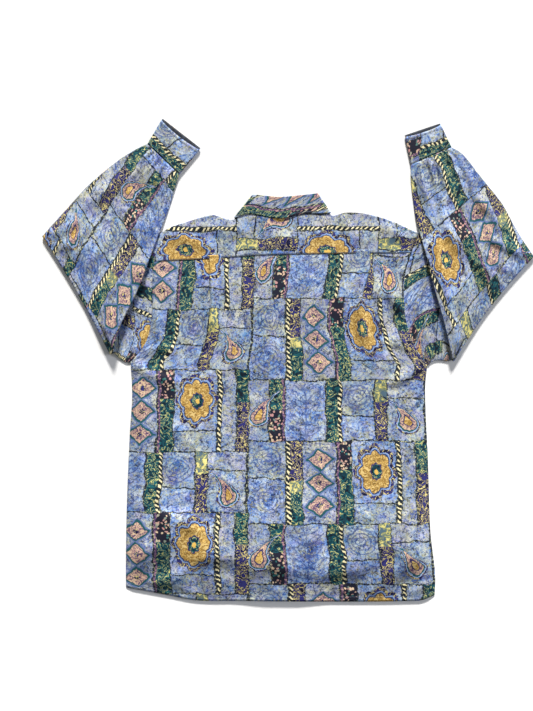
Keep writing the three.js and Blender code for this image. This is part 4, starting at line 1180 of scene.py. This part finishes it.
def back_grid():
    """Points of the back, its rows from the hem to the yoke seam, and their places on the cloth."""
    cloth, band, place = back_columns()
    row = np.arange(BACK_SIDE_ROWS + BACK_ARM_ROWS + 1)[:, None]
    even = cloth / cloth[-1]
    edge_left, edge_right = (back_edge(side, row) for side in SIDES)
    even_x = lerp(edge_left, edge_right, even)
    y = back_y(row, even_x)
    held = lerp(*(smooth(PLEATS[side].end, PLEATS[side].top, y) for side in SIDES), even)
    x = lerp(even_x, pleated_x(band, place, edge_left, edge_right), held**1.5)
    y = back_y(row, x)
    grid = np.stack([x, y, back_height(x, y, pleat_lift(band, x) * np.sqrt(held))], axis=-1)
    tuck = np.repeat(grid[-1:], len(BACK_TUCK), axis=0)
    tuck[:, :, 1] += np.array(BACK_TUCK)[:, None]
    grid = np.concatenate([grid, tuck])
    across = np.broadcast_to(cloth - cloth[-1] / 2, grid.shape[:2])
    return grid, cut_places("back", across, grid[:, :, 1])


def make_back():
    mid, cut = back_grid()
    shell = cloth_shell("back_cloth", mid, cut)
    return dress(shell, "back")


def running_length(mid, axis):
    """The length of the cloth up to each point of a grid, along one of its axes."""
    step = np.linalg.norm(np.diff(mid, axis=axis), axis=-1)
    pad = [(1, 0), (0, 0)] if axis == 0 else [(0, 0), (1, 0)]
    return np.cumsum(np.pad(step, pad), axis=axis)


# The yoke, up the back to the neckline and folded over the shoulders to the seams on the fronts.
YOKE_COLUMNS = (34, 26)  # along each shoulder, and along the neck
YOKE_ROWS = (22, 8, 10)  # up the back, round the shoulders and down the fronts


def neck_edge(side, share):
    """The neckline of the fronts and the yoke, a little outside the collar's own line."""
    line = COLLAR[side]["neck"]
    way = unit(line(share + 0.02) - line(share - 0.02))
    away = np.stack([-way[..., 1], way[..., 0]], axis=-1) * OUTWARD[side] * NECK_GAP
    return line(share) + away


def yoke_neck(side):
    return NECK[side][0] + OUTWARD[side] * YOKE_NECK_INSET


def yoke_columns():
    """The part of the yoke's top that each column meets, and how far along that part."""
    shoulder, neck = YOKE_COLUMNS
    part = np.array(["left"] * (shoulder + 1) + ["neck"] * (neck - 1) + ["right"] * (shoulder + 1))
    up, down = np.linspace(0, 1, shoulder + 1), np.linspace(1, 0, shoulder + 1)
    return part, np.concatenate([up, np.linspace(0, 1, neck + 1)[1:-1], down])


def yoke_x(part, place, up):
    """Where the columns lie, from the seam across the back up to the top."""
    x = lerp(yoke_neck("left"), yoke_neck("right"), place)
    for side in SIDES:
        edge = ARMHOLE[side](lerp(YOKE_ENDS[side], SHOULDER[side][1], up))
        x = np.where(part == side, lerp(edge, yoke_neck(side), place), x)
    return x


def yoke_top(x):
    middle = np.where(x >= yoke_neck("right"), SHOULDER_LINE["right"](x), neck_back(x))
    return np.where(x <= yoke_neck("left"), SHOULDER_LINE["left"](x), middle)


def yoke_front_row(part, place, top, down):
    """A row on the fronts, from the shoulders down to the seams there."""
    x, y = top.T
    for side in SIDES:
        outer = ARMHOLE[side](lerp(SHOULDER[side][1], FRONT_SEAM_ENDS[side], np.array([down, 1.0])))
        inner = neck_edge(side, np.array([SEAM_ON_NECKLINE * down, SEAM_ON_NECKLINE]))[:, 0]
        side_x = lerp(outer[0], lerp(yoke_neck(side), inner[0], down), place)
        seam_y = FRONT_SEAM[side](lerp(outer[1], inner[1], place)) + SEAM
        x = np.where(part == side, side_x, x)
        y = np.where(part == side, lerp(top[:, 1], seam_y, down), y)
    return np.column_stack([x, y, front_level(x, y)])


def yoke_grid():
    part, place = yoke_columns()
    back_rows, turn_rows, front_rows = YOKE_ROWS
    top_x, seam_x = yoke_x(part, place, 1.0), yoke_x(part, place, 0.0)
    top, seam = np.column_stack([top_x, yoke_top(top_x)]), np.column_stack([seam_x, yoke_seam(seam_x)])
    rows = []
    for up in np.linspace(0, 1, back_rows + 1):
        x, y = yoke_x(part, place, up), lerp(seam[:, 1], top[:, 1], up)
        rows.append(np.column_stack([x, y, back_level(x, y) + yoke_relief(x, y, seam[:, 1], top[:, 1])]))
    low = front_level(*top.T)
    radius = (rows[-1][:, 2] - low) / 2
    for turn in np.linspace(0, math.pi, turn_rows + 1)[1:]:
        out = top + unit(top - seam) * (radius * math.sin(turn))[:, None]
        rows.append(np.column_stack([out, low + radius * (1 + math.cos(turn))]))
    rows += [yoke_front_row(part, place, top, down) for down in np.linspace(0, 1, front_rows + 1)[1:]]
    mid = np.array(rows)
    keep = np.ones((mid.shape[0] - 1, mid.shape[1] - 1), bool)
    keep[back_rows:, YOKE_COLUMNS[0] : sum(YOKE_COLUMNS)] = False
    length = running_length(mid[:, :, 1:], 0)
    return mid, cut_places("yoke", length + seam[:, 1], -mid[:, :, 0]), keep


def yoke_relief(x, y, seam_y, top_y):
    """The yoke's turned-under edge along its seam, with creases that leave its edges alone."""
    from_seam, from_top = y - seam_y, top_y - y
    inside = smooth(0, 14, from_seam) * smooth(0, 10, from_top)
    creases = (crease_height(YOKE_CREASES, x, y) + ripple(x, y, 9, 0.4, 22, 90)) * inside
    return creases + welt(from_seam, 7, 0.35) + pucker(from_seam - 2, x, 8) * smooth(0, 3, from_seam)


def make_yoke():
    mid, cut, keep = yoke_grid()
    shell = cloth_shell("yoke_cloth", mid, cut, keep=keep)
    return dress(shell, "yoke")


# The fronts and the placket, which lie on the floor.
FRONT_SIDE_ROWS = 60
FRONT_ARM_ROWS = 28
FRONT_COLUMNS = (30, 15)  # under the shoulder, and under the neck
SHARP_FADE = 6  # the power by which a piece's end, cut on a curve, straightens out along its rows


def front_y(row, bottom, middle, top):
    """How far up each row of a front lies."""
    low = lerp(bottom, middle, row / FRONT_SIDE_ROWS)
    return np.where(row <= FRONT_SIDE_ROWS, low, lerp(middle, top, (row - FRONT_SIDE_ROWS) / FRONT_ARM_ROWS))


def opening_x(side, y):
    """The inner edge of each front, of which the wearer's right one laps under the placket."""
    return centre_x(y) + (-PLACKET_HALF - 2 * SEAM if side == "left" else PLACKET_LAP - PLACKET_HALF)


def front_grid(side):
    rows = FRONT_SIDE_ROWS + FRONT_ARM_ROWS
    row = np.arange(rows + 1)[:, None]
    outer, inner = FRONT_COLUMNS
    under_neck = np.repeat([False, True], FRONT_COLUMNS)
    place = np.concatenate([np.linspace(0, 1, outer, endpoint=False), np.linspace(0, 1, inner)])
    shares = np.linspace(0, 1, 400)
    ends = COLLAR[side]["neck"](shares)[:, 0] * -OUTWARD[side]
    last_share = np.interp(opening_x(side, FRONT_NECK_DEPTH) * -OUTWARD[side], ends, shares)
    under_y = UNDERARM[side][1]
    edge_y = front_y(row, hem(HEM_ENDS[side]), under_y, FRONT_SEAM_ENDS[side])
    edge_x = np.where(row <= FRONT_SIDE_ROWS, SIDE_LINE[side](edge_y), ARMHOLE[side](edge_y))
    seam_end = neck_edge(side, np.array(SEAM_ON_NECKLINE))[0]
    opening = opening_x(side, front_y(row, hem(0), under_y, FRONT_NECK_DEPTH))
    straight = np.where(under_neck, lerp(seam_end, opening, place), lerp(edge_x, seam_end, place))
    seam_x = lerp(edge_x[-1, 0], seam_end, place)
    neck = neck_edge(side, lerp(SEAM_ON_NECKLINE, last_share, place))
    top_x = np.where(under_neck, neck[:, 0], seam_x)
    top_y = np.where(under_neck, neck[:, 1], FRONT_SEAM[side](seam_x) - SEAM)
    x = straight + (top_x - straight[-1]) * (row / rows) ** SHARP_FADE
    y = front_y(row, hem(straight[0]), under_y, top_y)
    return np.stack([x, y, side_front_level(side, x, y)], axis=-1), cut_places("front_" + side, x, y)


def make_front(side):
    mid, cut = front_grid(side)
    shell = cloth_shell(f"front_{side}_cloth", mid, cut, outside=-1)
    return dress(shell, "front_" + side)


PLACKET_GRID = (121, 7)
PLACKET_WALL = 0.8


def make_placket():
    rows, columns = PLACKET_GRID
    y = lerp(hem(0), FRONT_NECK_DEPTH - SEAM, np.linspace(0, 1, rows)[:, None]) + np.zeros((1, columns))
    x = centre_x(y) + np.linspace(-1, 1, columns) * PLACKET_HALF
    mid = np.stack([x, y, np.full(x.shape, PLACKET_LEVEL)], axis=-1)
    shell = cloth_shell("placket_cloth", mid, cut_places("placket", x, y), outside=-1, wall=PLACKET_WALL)
    return dress(shell, "placket")


# The collar: columns round the neck, from the wearer's left end over the back to the right end.
NECK_FRONT = 26
NECK_TURNS = 7
NECK_BACK = 44
STAND_ROWS = 9
STAND_WALL = 0.7
FALL_TURN_ROWS = 8
FALL_FLAT_ROWS = 18


def neck_columns(last_share):
    """The part of the collar that each column is in, its place along it, and the way to its outside."""
    shares = np.linspace(0, last_share, NECK_FRONT)
    turns = np.linspace(0, math.pi, NECK_TURNS + 2)[1:-1]
    columns = NECK_FRONT + NECK_TURNS
    part = ["left"] * columns + ["back"] * NECK_BACK + ["right"] * columns
    place = np.concatenate([shares[::-1], 0 * turns, np.linspace(0, 1, NECK_BACK), 0 * turns, shares])
    up = np.array([0.0, 0.0, 1.0])

    def turned(side):
        return [up * math.cos(turn) + np.array(NECK_TURN[side]) * math.sin(turn) for turn in turns]

    under = [-up] * NECK_FRONT
    out = under + turned("left")[::-1] + [up] * NECK_BACK + turned("right") + under
    return np.array(part), place, np.array(out)


def collar_line(part, place, ends, back_line, name, stretch=1.0):
    """Points of one of the collar's lines, one for each column."""
    x = lerp(ends[0], ends[1], place)
    line = np.stack([x, back_line(x)], axis=-1)
    for side in SIDES:
        line = np.where((part == side)[:, None], COLLAR[side][name](place / stretch), line)
    return line


def neck_ride(part, point):
    """How far the collar rides up where its ends lap over the collar button."""
    x, y = point[:, 0], point[:, 1]
    ride = back_level(x, y) - lerp(BACK_LEVEL, BACK_AT_NECK, near_neck(x, y))
    for side in SIDES:
        front = (side_front_level(side, x, y) - front_level(x, y)) * smooth(284, 264, y)
        ride = np.where(part == side, front, ride)
    return ride


def make_collar_stand():
    part, place, out = neck_columns(1.0)
    neck = collar_line(part, place, (NECK["left"][0], NECK["right"][0]), neck_back, "neck")
    fold = collar_line(part, place, FOLD_BACK, fold_back, "fold")
    inset = unit(fold - neck) * STAND_INSET
    rows = []
    for up in np.linspace(0, 1, STAND_ROWS):
        flat = lerp(neck + inset, fold - inset, up)
        rows.append(np.column_stack([flat, NECK_MIDDLE + neck_ride(part, flat)]) + out * STAND_HALF)
    mid = np.array(rows)
    cut = cut_places("collar_stand", running_length(mid, 0), running_length(mid, 1))
    shell = cloth_shell("collar_stand_cloth", mid, cut, wall=STAND_WALL)
    return dress(shell, "collar_stand")


def stitched_edge(distance, rise, groove):
    """The full edge of a collar or cuff, and the groove that its stitches draw beside it."""
    return rise * bump(distance, 2.5, 2) - 0.28 * bump(distance, 6, groove)


def fall_row(part, out, fold, edge, row):
    """A row of the collar fall, over the fold and then down to its edge."""
    roll = math.pi * min(row, FALL_TURN_ROWS) / FALL_TURN_ROWS
    down = max(row - FALL_TURN_ROWS, 0) / FALL_FLAT_ROWS
    flat = lerp(fold, edge, down) + unit(fold - edge) * ROLL * math.sin(roll)
    ride = neck_ride(part, flat) * np.where(part == "back", FALL_RIDE, 1 - smooth(0, LEAF_END, down))
    shown = (part == "back") * smooth(0, 0.2, down)
    relief = ripple(flat[:, 0], flat[:, 1], 21, 0.18, 24, 80)
    relief = relief + stitched_edge((1 - down) * np.linalg.norm(edge - fold, axis=1), 0.25, 1.2)
    height = STAND_HALF + ROLL * (1 - math.cos(roll))
    return np.column_stack([flat, NECK_MIDDLE + ride + shown * relief]) + out * height


def make_collar_fall():
    part, place, out = neck_columns(LEAF_END)
    fold = collar_line(part, place, FOLD_BACK, fold_back, "fold")
    edge = collar_line(part, place, EDGE_BACK, edge_back, "edge", LEAF_END)
    rows = range(FALL_TURN_ROWS + FALL_FLAT_ROWS + 1)
    mid = np.array([fall_row(part, out, fold, edge, row) for row in rows])
    cut = cut_places("collar_fall", running_length(mid, 0), running_length(mid, 1))
    shell = cloth_shell("collar_fall_cloth", mid, cut, outside=-1, wall=STIFF_CLOTH)
    return dress(shell, "collar_fall")


# The sleeves: a flattened tube to the crook of the elbow, bent over there, then on to the cuff.


def tube_columns(layer_steps, round_steps):
    """Columns round a flattened tube: share across it, height from -1 to 1 and reach past its edges."""
    flat = np.linspace(0, 1, layer_steps + 1)
    angles = np.linspace(0, math.pi, round_steps + 1)[1:-1]
    share = np.concatenate([flat, 0 * angles + 1, flat[::-1], 0 * angles])
    height = np.concatenate([0 * flat - 1, -np.cos(angles), 0 * flat + 1, np.cos(angles)])
    reach = np.concatenate([0 * flat, np.sin(angles), 0 * flat, -np.sin(angles)])
    return share, height, reach


class Sleeve:
    """One sleeve. s is the share across it, from its outer to its inner edge, and along is the share
    of the way from the armhole to the crease at the elbow, or from there to the cuff."""

    ends = np.array([0.0, 1.0])

    def __init__(self, side):
        self.side, self.outward, self.data = side, OUTWARD[side], SLEEVES[side]
        self.shoulder, self.underarm = np.array(SHOULDER[side], float), np.array(UNDERARM[side], float)
        self.elbow, self.crook = self.data["outer"](0.0), self.data["inner"](0.0)
        self.crease_way = unit(self.crook - self.elbow)
        self.crease_out = np.array([self.crease_way[1], -self.crease_way[0]]) * -self.outward
        arm_way = unit(self.elbow - self.shoulder)
        self.arm_up = np.array([-arm_way[1], arm_way[0]]) * self.outward
        self.share, self.height, self.reach = tube_columns(SLEEVE_ACROSS, ROUND_STEPS)

    def radius(self, s):
        return lerp(FOLD_RADIUS, self.data["crook"], smooth(CROOK_FROM, 1, s))

    def half(self, s, away):
        return TUBE_HALF + self.data["open"] * smooth(CROOK_FROM, 1, s) * smooth(OPEN_REACH, 0, away)

    def seen_crease(self, s):
        return self.elbow + (self.crook - self.elbow) * s[..., None]

    def crease(self, s):
        """Where the middle of the tube starts to turn over, inside the crease that is seen."""
        inset = self.radius(s) + self.half(s, 0) + CLOTH / 2 + self.data["bow"] * np.sin(math.pi * s)
        return self.seen_crease(s) - inset[..., None] * self.crease_out

    def armhole(self, y):
        return np.stack([ARMHOLE[self.side](y) + ARM_SEAM * self.outward, y], axis=-1)

    def upper_point(self, s, along):
        start = self.armhole(lerp(self.shoulder[1], self.underarm[1], s))
        edge = lerp(self.armhole(self.underarm[1]), self.crease(self.ends[1:])[0], along)
        pull = smooth(0.4, 1, s) * smooth(0, 0.15, along) * (1 - along)
        return lerp(start, self.crease(s), along) + (self.data["under"](along) - edge) * pull[..., None]

    def fore_point(self, s, along):
        shift = (self.crease(s) - self.seen_crease(s)) * (1 - along) ** SHARP_FADE
        return lerp(self.data["outer"](along), self.data["inner"](along), s[..., None]) + shift

    def round_tube(self, point, along, thick):
        """The plan of a row round the tube."""
        first, last = point(self.ends, along)
        return point(self.share, along) + (self.reach * thick)[:, None] * unit(last - first)

    def tuck_row(self, along):
        base = self.upper_point(self.share, 0.0) + np.array([along * SEAM_TUCK * self.outward, 0])
        return np.column_stack([base, TUBE_MIDDLE + self.height * TUBE_HALF * SEAM_SQUEEZE])

    def upper_row(self, along):
        thick = self.half(self.share, 1 - along)
        base = self.round_tube(self.upper_point, along, thick)
        squeeze = lerp(SEAM_SQUEEZE, 1, smooth(0, 0.05, along))
        relief = sleeve_relief(self.side, base, self.share) * smooth(0, 0.1, along) * smooth(1, 0.9, along)
        z = ON_FLOOR + thick + self.height * thick * squeeze + np.maximum(self.height, 0) * relief
        return np.column_stack([base, z])

    def bend_row(self, angle):
        thick = self.half(self.share, 0)
        arm = self.radius(self.share) - self.height * thick
        base = self.crease(self.share) + (self.reach * thick)[:, None] * self.crease_way
        base = base + (arm * math.sin(angle))[:, None] * self.crease_out
        z = ON_FLOOR + thick + self.radius(self.share) - arm * math.cos(angle)
        return np.column_stack([base, z])

    def lying(self, base, thick, along):
        """The middle of the forearm above the floor, on the body, beyond the shoulder and at the cuff."""
        on_body = ON_FLOOR + thick + 2 * lerp(self.radius(self.share), FOLD_RADIUS, smooth(0, 0.6, along))
        level = lerp(on_body, TUBE_MIDDLE, smooth(*SLEEVE_DROP, (base - self.shoulder) @ self.arm_up))
        level = level + (CUFF_MIDDLE - TUBE_MIDDLE) * smooth(CUFF_RISE, 1, along)
        lift = EDGE_LIFT[self.side](along) * smooth(EDGE_FROM, 1, self.share) * smooth(0, 0.03, along)
        return level + lift

    def fore_row(self, along):
        thick = self.half(self.share, along)
        base = self.round_tube(self.fore_point, along, thick)
        full = smooth(0, 0.25, along) * smooth(1, 0.8, along)
        shown = SLEEVE_PUFF * np.sin(math.pi * self.share) * full + gathers(self.side, self.share, along)
        shown += sleeve_relief(self.side, base, self.share) * smooth(0, 0.06, along) * smooth(1, 0.97, along)
        z = self.lying(base, thick, along) - self.height * thick + np.maximum(-self.height, 0) * shown
        return np.column_stack([base, z])

    def grid(self):
        """Points of the whole sleeve, and their places on the cloth."""
        rows = [self.tuck_row(along) for along in np.linspace(-1, 0, TUCK_ROWS + 1)[:-1]]
        rows += [self.upper_row(along) for along in np.linspace(0, 1, UPPER_ROWS + 1)]
        rows += [self.bend_row(angle) for angle in np.linspace(0, math.pi, BEND_ROWS + 1)[1:]]
        rows += [self.fore_row(along) for along in np.linspace(0, 1, FORE_ROWS + 1)[1:]]
        mid = np.array(rows)
        around = running_length(np.concatenate([mid, mid[:, :1]], axis=1), 1)[:, :-1]
        centre = slice(SLEEVE_ACROSS // 2, SLEEVE_ACROSS // 2 + 1)
        along = running_length(mid, 0)[:, centre] + 0 * around
        return mid, cut_places("sleeve_" + self.side, around - around[:, centre], along)


def gathers(side, share, along):
    """The narrow folds in which the sleeve is gathered into its cuff, of uneven length."""
    total = 0 * share
    for place, reach, rise in GATHERS[side]:
        fold = bump(share, place, GATHER_WIDTH)
        total += rise * fold * smooth(1 - reach, 1 - 0.25 * reach, along) * smooth(1.02, 0.985, along)
    return total


SLEEVE_SEEDS = {"left": 31, "right": 37}


def sleeve_relief(side, base, share):
    """Creases of the sleeve on the side that shows, none along its folded edges."""
    x, y = base.T
    seed = SLEEVE_SEEDS[side]
    uneven = ripple(x, y, seed, 0.6, 40, 120) + ripple(x, y, seed + 1, 0.22, 13, 40)
    inside = smooth(0, 0.06, share) * smooth(1, 0.94, share)
    return inside * (crease_height(SLEEVE_CREASES[side], x, y) + uneven)


def make_sleeve(side):
    mid, cut = Sleeve(side).grid()
    shell = cloth_shell(f"sleeve_{side}_cloth", mid, cut, outside=-OUTWARD[side], closed=True)
    return dress(shell, "sleeve_" + side)


def cuff_row(side, share, height, reach, along):
    """A row round the cuff, whose upper layer ends a little short, so that the lower layer's inner
    side shows, painted dark as the shade inside the cuff.
    """
    data = SLEEVES[side]
    start, end = np.array([data["outer"](1.0), data["inner"](1.0)]), np.array(data["cuff"], float)
    axis = unit(end.sum(axis=0) - start.sum(axis=0))
    first, last = lerp(start, end, along)
    base = first + (last - first) * share[:, None] + (reach * CUFF_HALF)[:, None] * unit(last - first)
    up = np.where(height > 0, height, 0)
    arch = np.sin(math.pi * share)
    lap = along * CUFF_UNDER_LAP * (1 - height) / 2
    recess = CUFF_RECESS[side] * up * arch**0.7 * smooth(0.5, 1, along)
    base = base + (ARM_SEAM + lap - recess)[:, None] * axis
    lift = up * CUFF_PUFF * arch * smooth(0, 0.5, along)
    ridge = up * stitched_edge(min(along, 1 - along) * CUFF_DEPTH, 0.3, 1.4)
    return np.column_stack([base, CUFF_MIDDLE + height * CUFF_HALF + lift + ridge])


def cuff_grid(side):
    columns = tube_columns(CUFF_ACROSS, ROUND_STEPS)
    mid = np.array([cuff_row(side, *columns, along) for along in np.linspace(0, 1, CUFF_ROWS)])
    return mid, cut_places("cuff_" + side, running_length(mid, 0), running_length(mid, 1))


def make_cuff(side):
    mid, cut = cuff_grid(side)
    shell = cloth_shell(f"cuff_{side}_cloth", mid, cut, outside=OUTWARD[side], wall=STIFF_CLOTH, closed=True)
    return dress(shell, "cuff_" + side)


# Sewing: lines of lockstitch, each stitch a short bar of thread that dips in at its ends.
STITCH = 3.0
STITCH_LENGTH = 2.2
THREAD_RADIUS = 0.24
STITCH_PROFILE = [(-1, -0.2, 0.5), (-0.7, 0.14, 1), (0, 0.24, 1), (0.7, 0.14, 1), (1, -0.2, 0.5)]
THREAD_SIDES = 6
SEAM_SAMPLES = 600
# A seam runs through places on the grid of its shell, which may lie between two rows or columns.
Seam = namedtuple("Seam", "shell rows columns")


def on_shell(shell, rows, columns):
    """Places and normals on the outer side of a shell, at fractions of its rows and columns."""
    last_row, last_column = shell.mid.shape[0] - 1, shell.mid.shape[1] - 1
    row = np.clip(rows.astype(int), 0, last_row - 1)
    column = np.clip(columns.astype(int), 0, last_column - 1)
    down, right = (rows - row)[:, None], (columns - column)[:, None]
    found = []
    for grid in (shell.mid, shell.normal):
        near = lerp(grid[row, column], grid[row, column + 1], right)
        far = lerp(grid[row + 1, column], grid[row + 1, column + 1], right)
        found.append(lerp(near, far, down))
    place, normal = found
    normal = unit(normal)
    return place + normal * shell.wall / 2, normal


def stitch_bars(seam):
    """Points of all stitches along one seam: stitch, section along it, point round it."""
    share = np.linspace(0, 1, SEAM_SAMPLES)
    rows = np.interp(share, np.linspace(0, 1, len(seam.rows)), seam.rows)
    columns = np.interp(share, np.linspace(0, 1, len(seam.columns)), seam.columns)
    place, normal = on_shell(seam.shell, rows, columns)
    length = np.concatenate([[0], np.cumsum(np.linalg.norm(np.diff(place, axis=0), axis=1))])

    def read(values, at):
        return np.stack([np.interp(at, length, values[:, axis]) for axis in range(3)], axis=-1)

    middle = np.arange(STITCH, length[-1] - STITCH, STITCH)
    up = unit(read(normal, middle))
    way = unit(read(place, middle + STITCH_LENGTH / 2) - read(place, middle - STITCH_LENGTH / 2))
    side = np.cross(up, way)
    along, lift, thick = np.array(STITCH_PROFILE).T
    turn = np.linspace(0, 2 * math.pi, THREAD_SIDES, endpoint=False)
    centre = read(place, middle)[:, None, :] + along[:, None] * STITCH_LENGTH / 2 * way[:, None, :]
    centre = centre + lift[:, None] * up[:, None, :]
    ring = np.cos(turn)[:, None] * side[:, None, :] + np.sin(turn)[:, None] * up[:, None, :]
    return centre[:, :, None, :] + THREAD_RADIUS * thick[:, None, None] * ring[:, None, :, :]


def sew(name, seams):
    bars = np.concatenate([stitch_bars(seam) for seam in seams])
    bars[..., 2] = np.maximum(bars[..., 2], 0)
    number = np.arange(bars[..., 0].size).reshape(bars.shape[:3])
    after = np.roll(number, -1, axis=2)
    quads = np.stack([number[:, :-1], after[:, :-1], after[:, 1:], number[:, 1:]], axis=-1).reshape(-1, 4)
    caps = np.concatenate([number[:, 0, ::-1], number[:, -1]])
    mesh = make_mesh(name, bars.reshape(-1, 3), quads.tolist() + caps.tolist(), ["thread"])
    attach(place_object(name, mesh), "root")


def sew_along(shell, row, first, last):
    """A seam along a row, between two columns, the last one counted back from the far edge."""
    return Seam(shell, [row, row], [first, shell.mid.shape[1] - 1 - last])


def sew_up(shell, first, last, inset):
    """Two seams up the rows, each as many columns in from its edge as inset says."""
    columns = (inset[0], shell.mid.shape[1] - 1 - inset[1])
    return [Seam(shell, [first, last], [column, column]) for column in columns]


def sew_shirt():
    """Topstitching along the hem, the yoke, the armholes, the collar, the cuffs and the placket."""
    sew("thread_hem", [sew_along(back, 2.2, 0.5, 0.5)])
    sew("thread_yoke", [sew_along(yoke, 0.45, 0.2, 0.2)])
    armholes = sew_up(back, BACK_SIDE_ROWS, BACK_SIDE_ROWS + BACK_ARM_ROWS - 0.6, (1.4, 1.2))
    sew("thread_armholes", armholes + sew_up(yoke, 0.6, YOKE_ROWS[0] - 0.5, (1.1, 1.1)))
    sew("thread_collar", [sew_along(fall, fall.mid.shape[0] - 3.2, 1, 1)])
    for side in SIDES:
        sew(f"thread_cuff_{side}", [sew_along(cuffs[side], row, 0, 0.1) for row in (1.1, CUFF_ROWS - 2.6)])
        sew(f"thread_front_hem_{side}", [sew_along(fronts[side], 1.2, 0.5, 2)])
    sew("thread_placket", sew_up(placket, 1, PLACKET_GRID[0] - 2, (0.9, 0.9)))


FLOOR_HALF = 6000
FLOOR_LEVEL = -0.05


def make_floor():
    corners = [(x * FLOOR_HALF, y * FLOOR_HALF, FLOOR_LEVEL) for x, y in ((-1, -1), (1, -1), (1, 1), (-1, 1))]
    place_object("floor", make_mesh("floor", np.array(corners), [(0, 1, 2, 3)], ["floor"]))


# The lamps: the way to each, its width in the sky in degrees, its strength and its colour. The key
# comes in low over the collar, as the photo's creases are lit, and the fill from the right.
LAMPS = {
    "key": ((0.02, 1.0, 0.4), 10, 8.1, "#fffcf8"),
    "fill": ((1.0, 0.1, 0.42), 18, 1.4, "#eef3ff"),
}
BACKDROP = "#f4f6fa"
BACKDROP_STRENGTH = 0.22


def add_lights():
    for name, (way_to, spread, strength, colour) in LAMPS.items():
        lamp = bpy.data.lights.new(name, "SUN")
        lamp.angle = math.radians(spread)
        lamp.energy = strength
        lamp.color = paint(colour)[:3]
        place_object(name, lamp).rotation_euler = Vector(way_to).to_track_quat("Z", "Y").to_euler()


def add_world():
    world = bpy.data.worlds.new("studio")
    bpy.context.scene.world = world
    world.use_nodes = True
    backdrop = world.node_tree.nodes["Background"]
    backdrop.inputs["Color"].default_value = paint(BACKDROP)
    backdrop.inputs["Strength"].default_value = BACKDROP_STRENGTH


# The camera looks straight down. The photo's middle lies over this place on the floor, and one of
# its 711 rows of pixels covers this many millimetres.
VIEW_CENTRE = (-43.7, 11.4)
PIXEL = 2.08
ROWS = 711
LENS = 50
SENSOR = 36


def add_camera():
    lens = bpy.data.cameras.new("camera")
    lens.lens = LENS
    lens.sensor_width = SENSOR
    lens.sensor_fit = "AUTO"
    camera = place_object("camera", lens)
    camera.location = (VIEW_CENTRE[0] * MM, VIEW_CENTRE[1] * MM, ROWS * PIXEL * LENS / SENSOR * MM)
    bpy.context.scene.camera = camera


add_camera()
make_floor()
add_world()
add_lights()
bpy.context.scene.view_settings.view_transform = "Standard"

fronts = {side: make_front(side) for side in SIDES}
placket = make_placket()
make_collar_stand()
back = make_back()
yoke = make_yoke()
fall = make_collar_fall()
for side in SIDES:
    make_sleeve(side)
cuffs = {side: make_cuff(side) for side in SIDES}
sew_shirt()

# The buttons under the cloth are the solids themselves, in their own material.
for name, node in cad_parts.items():
    if name.startswith("button"):
        node.data.materials.clear()
        node.data.materials.append(MATERIALS["button"])
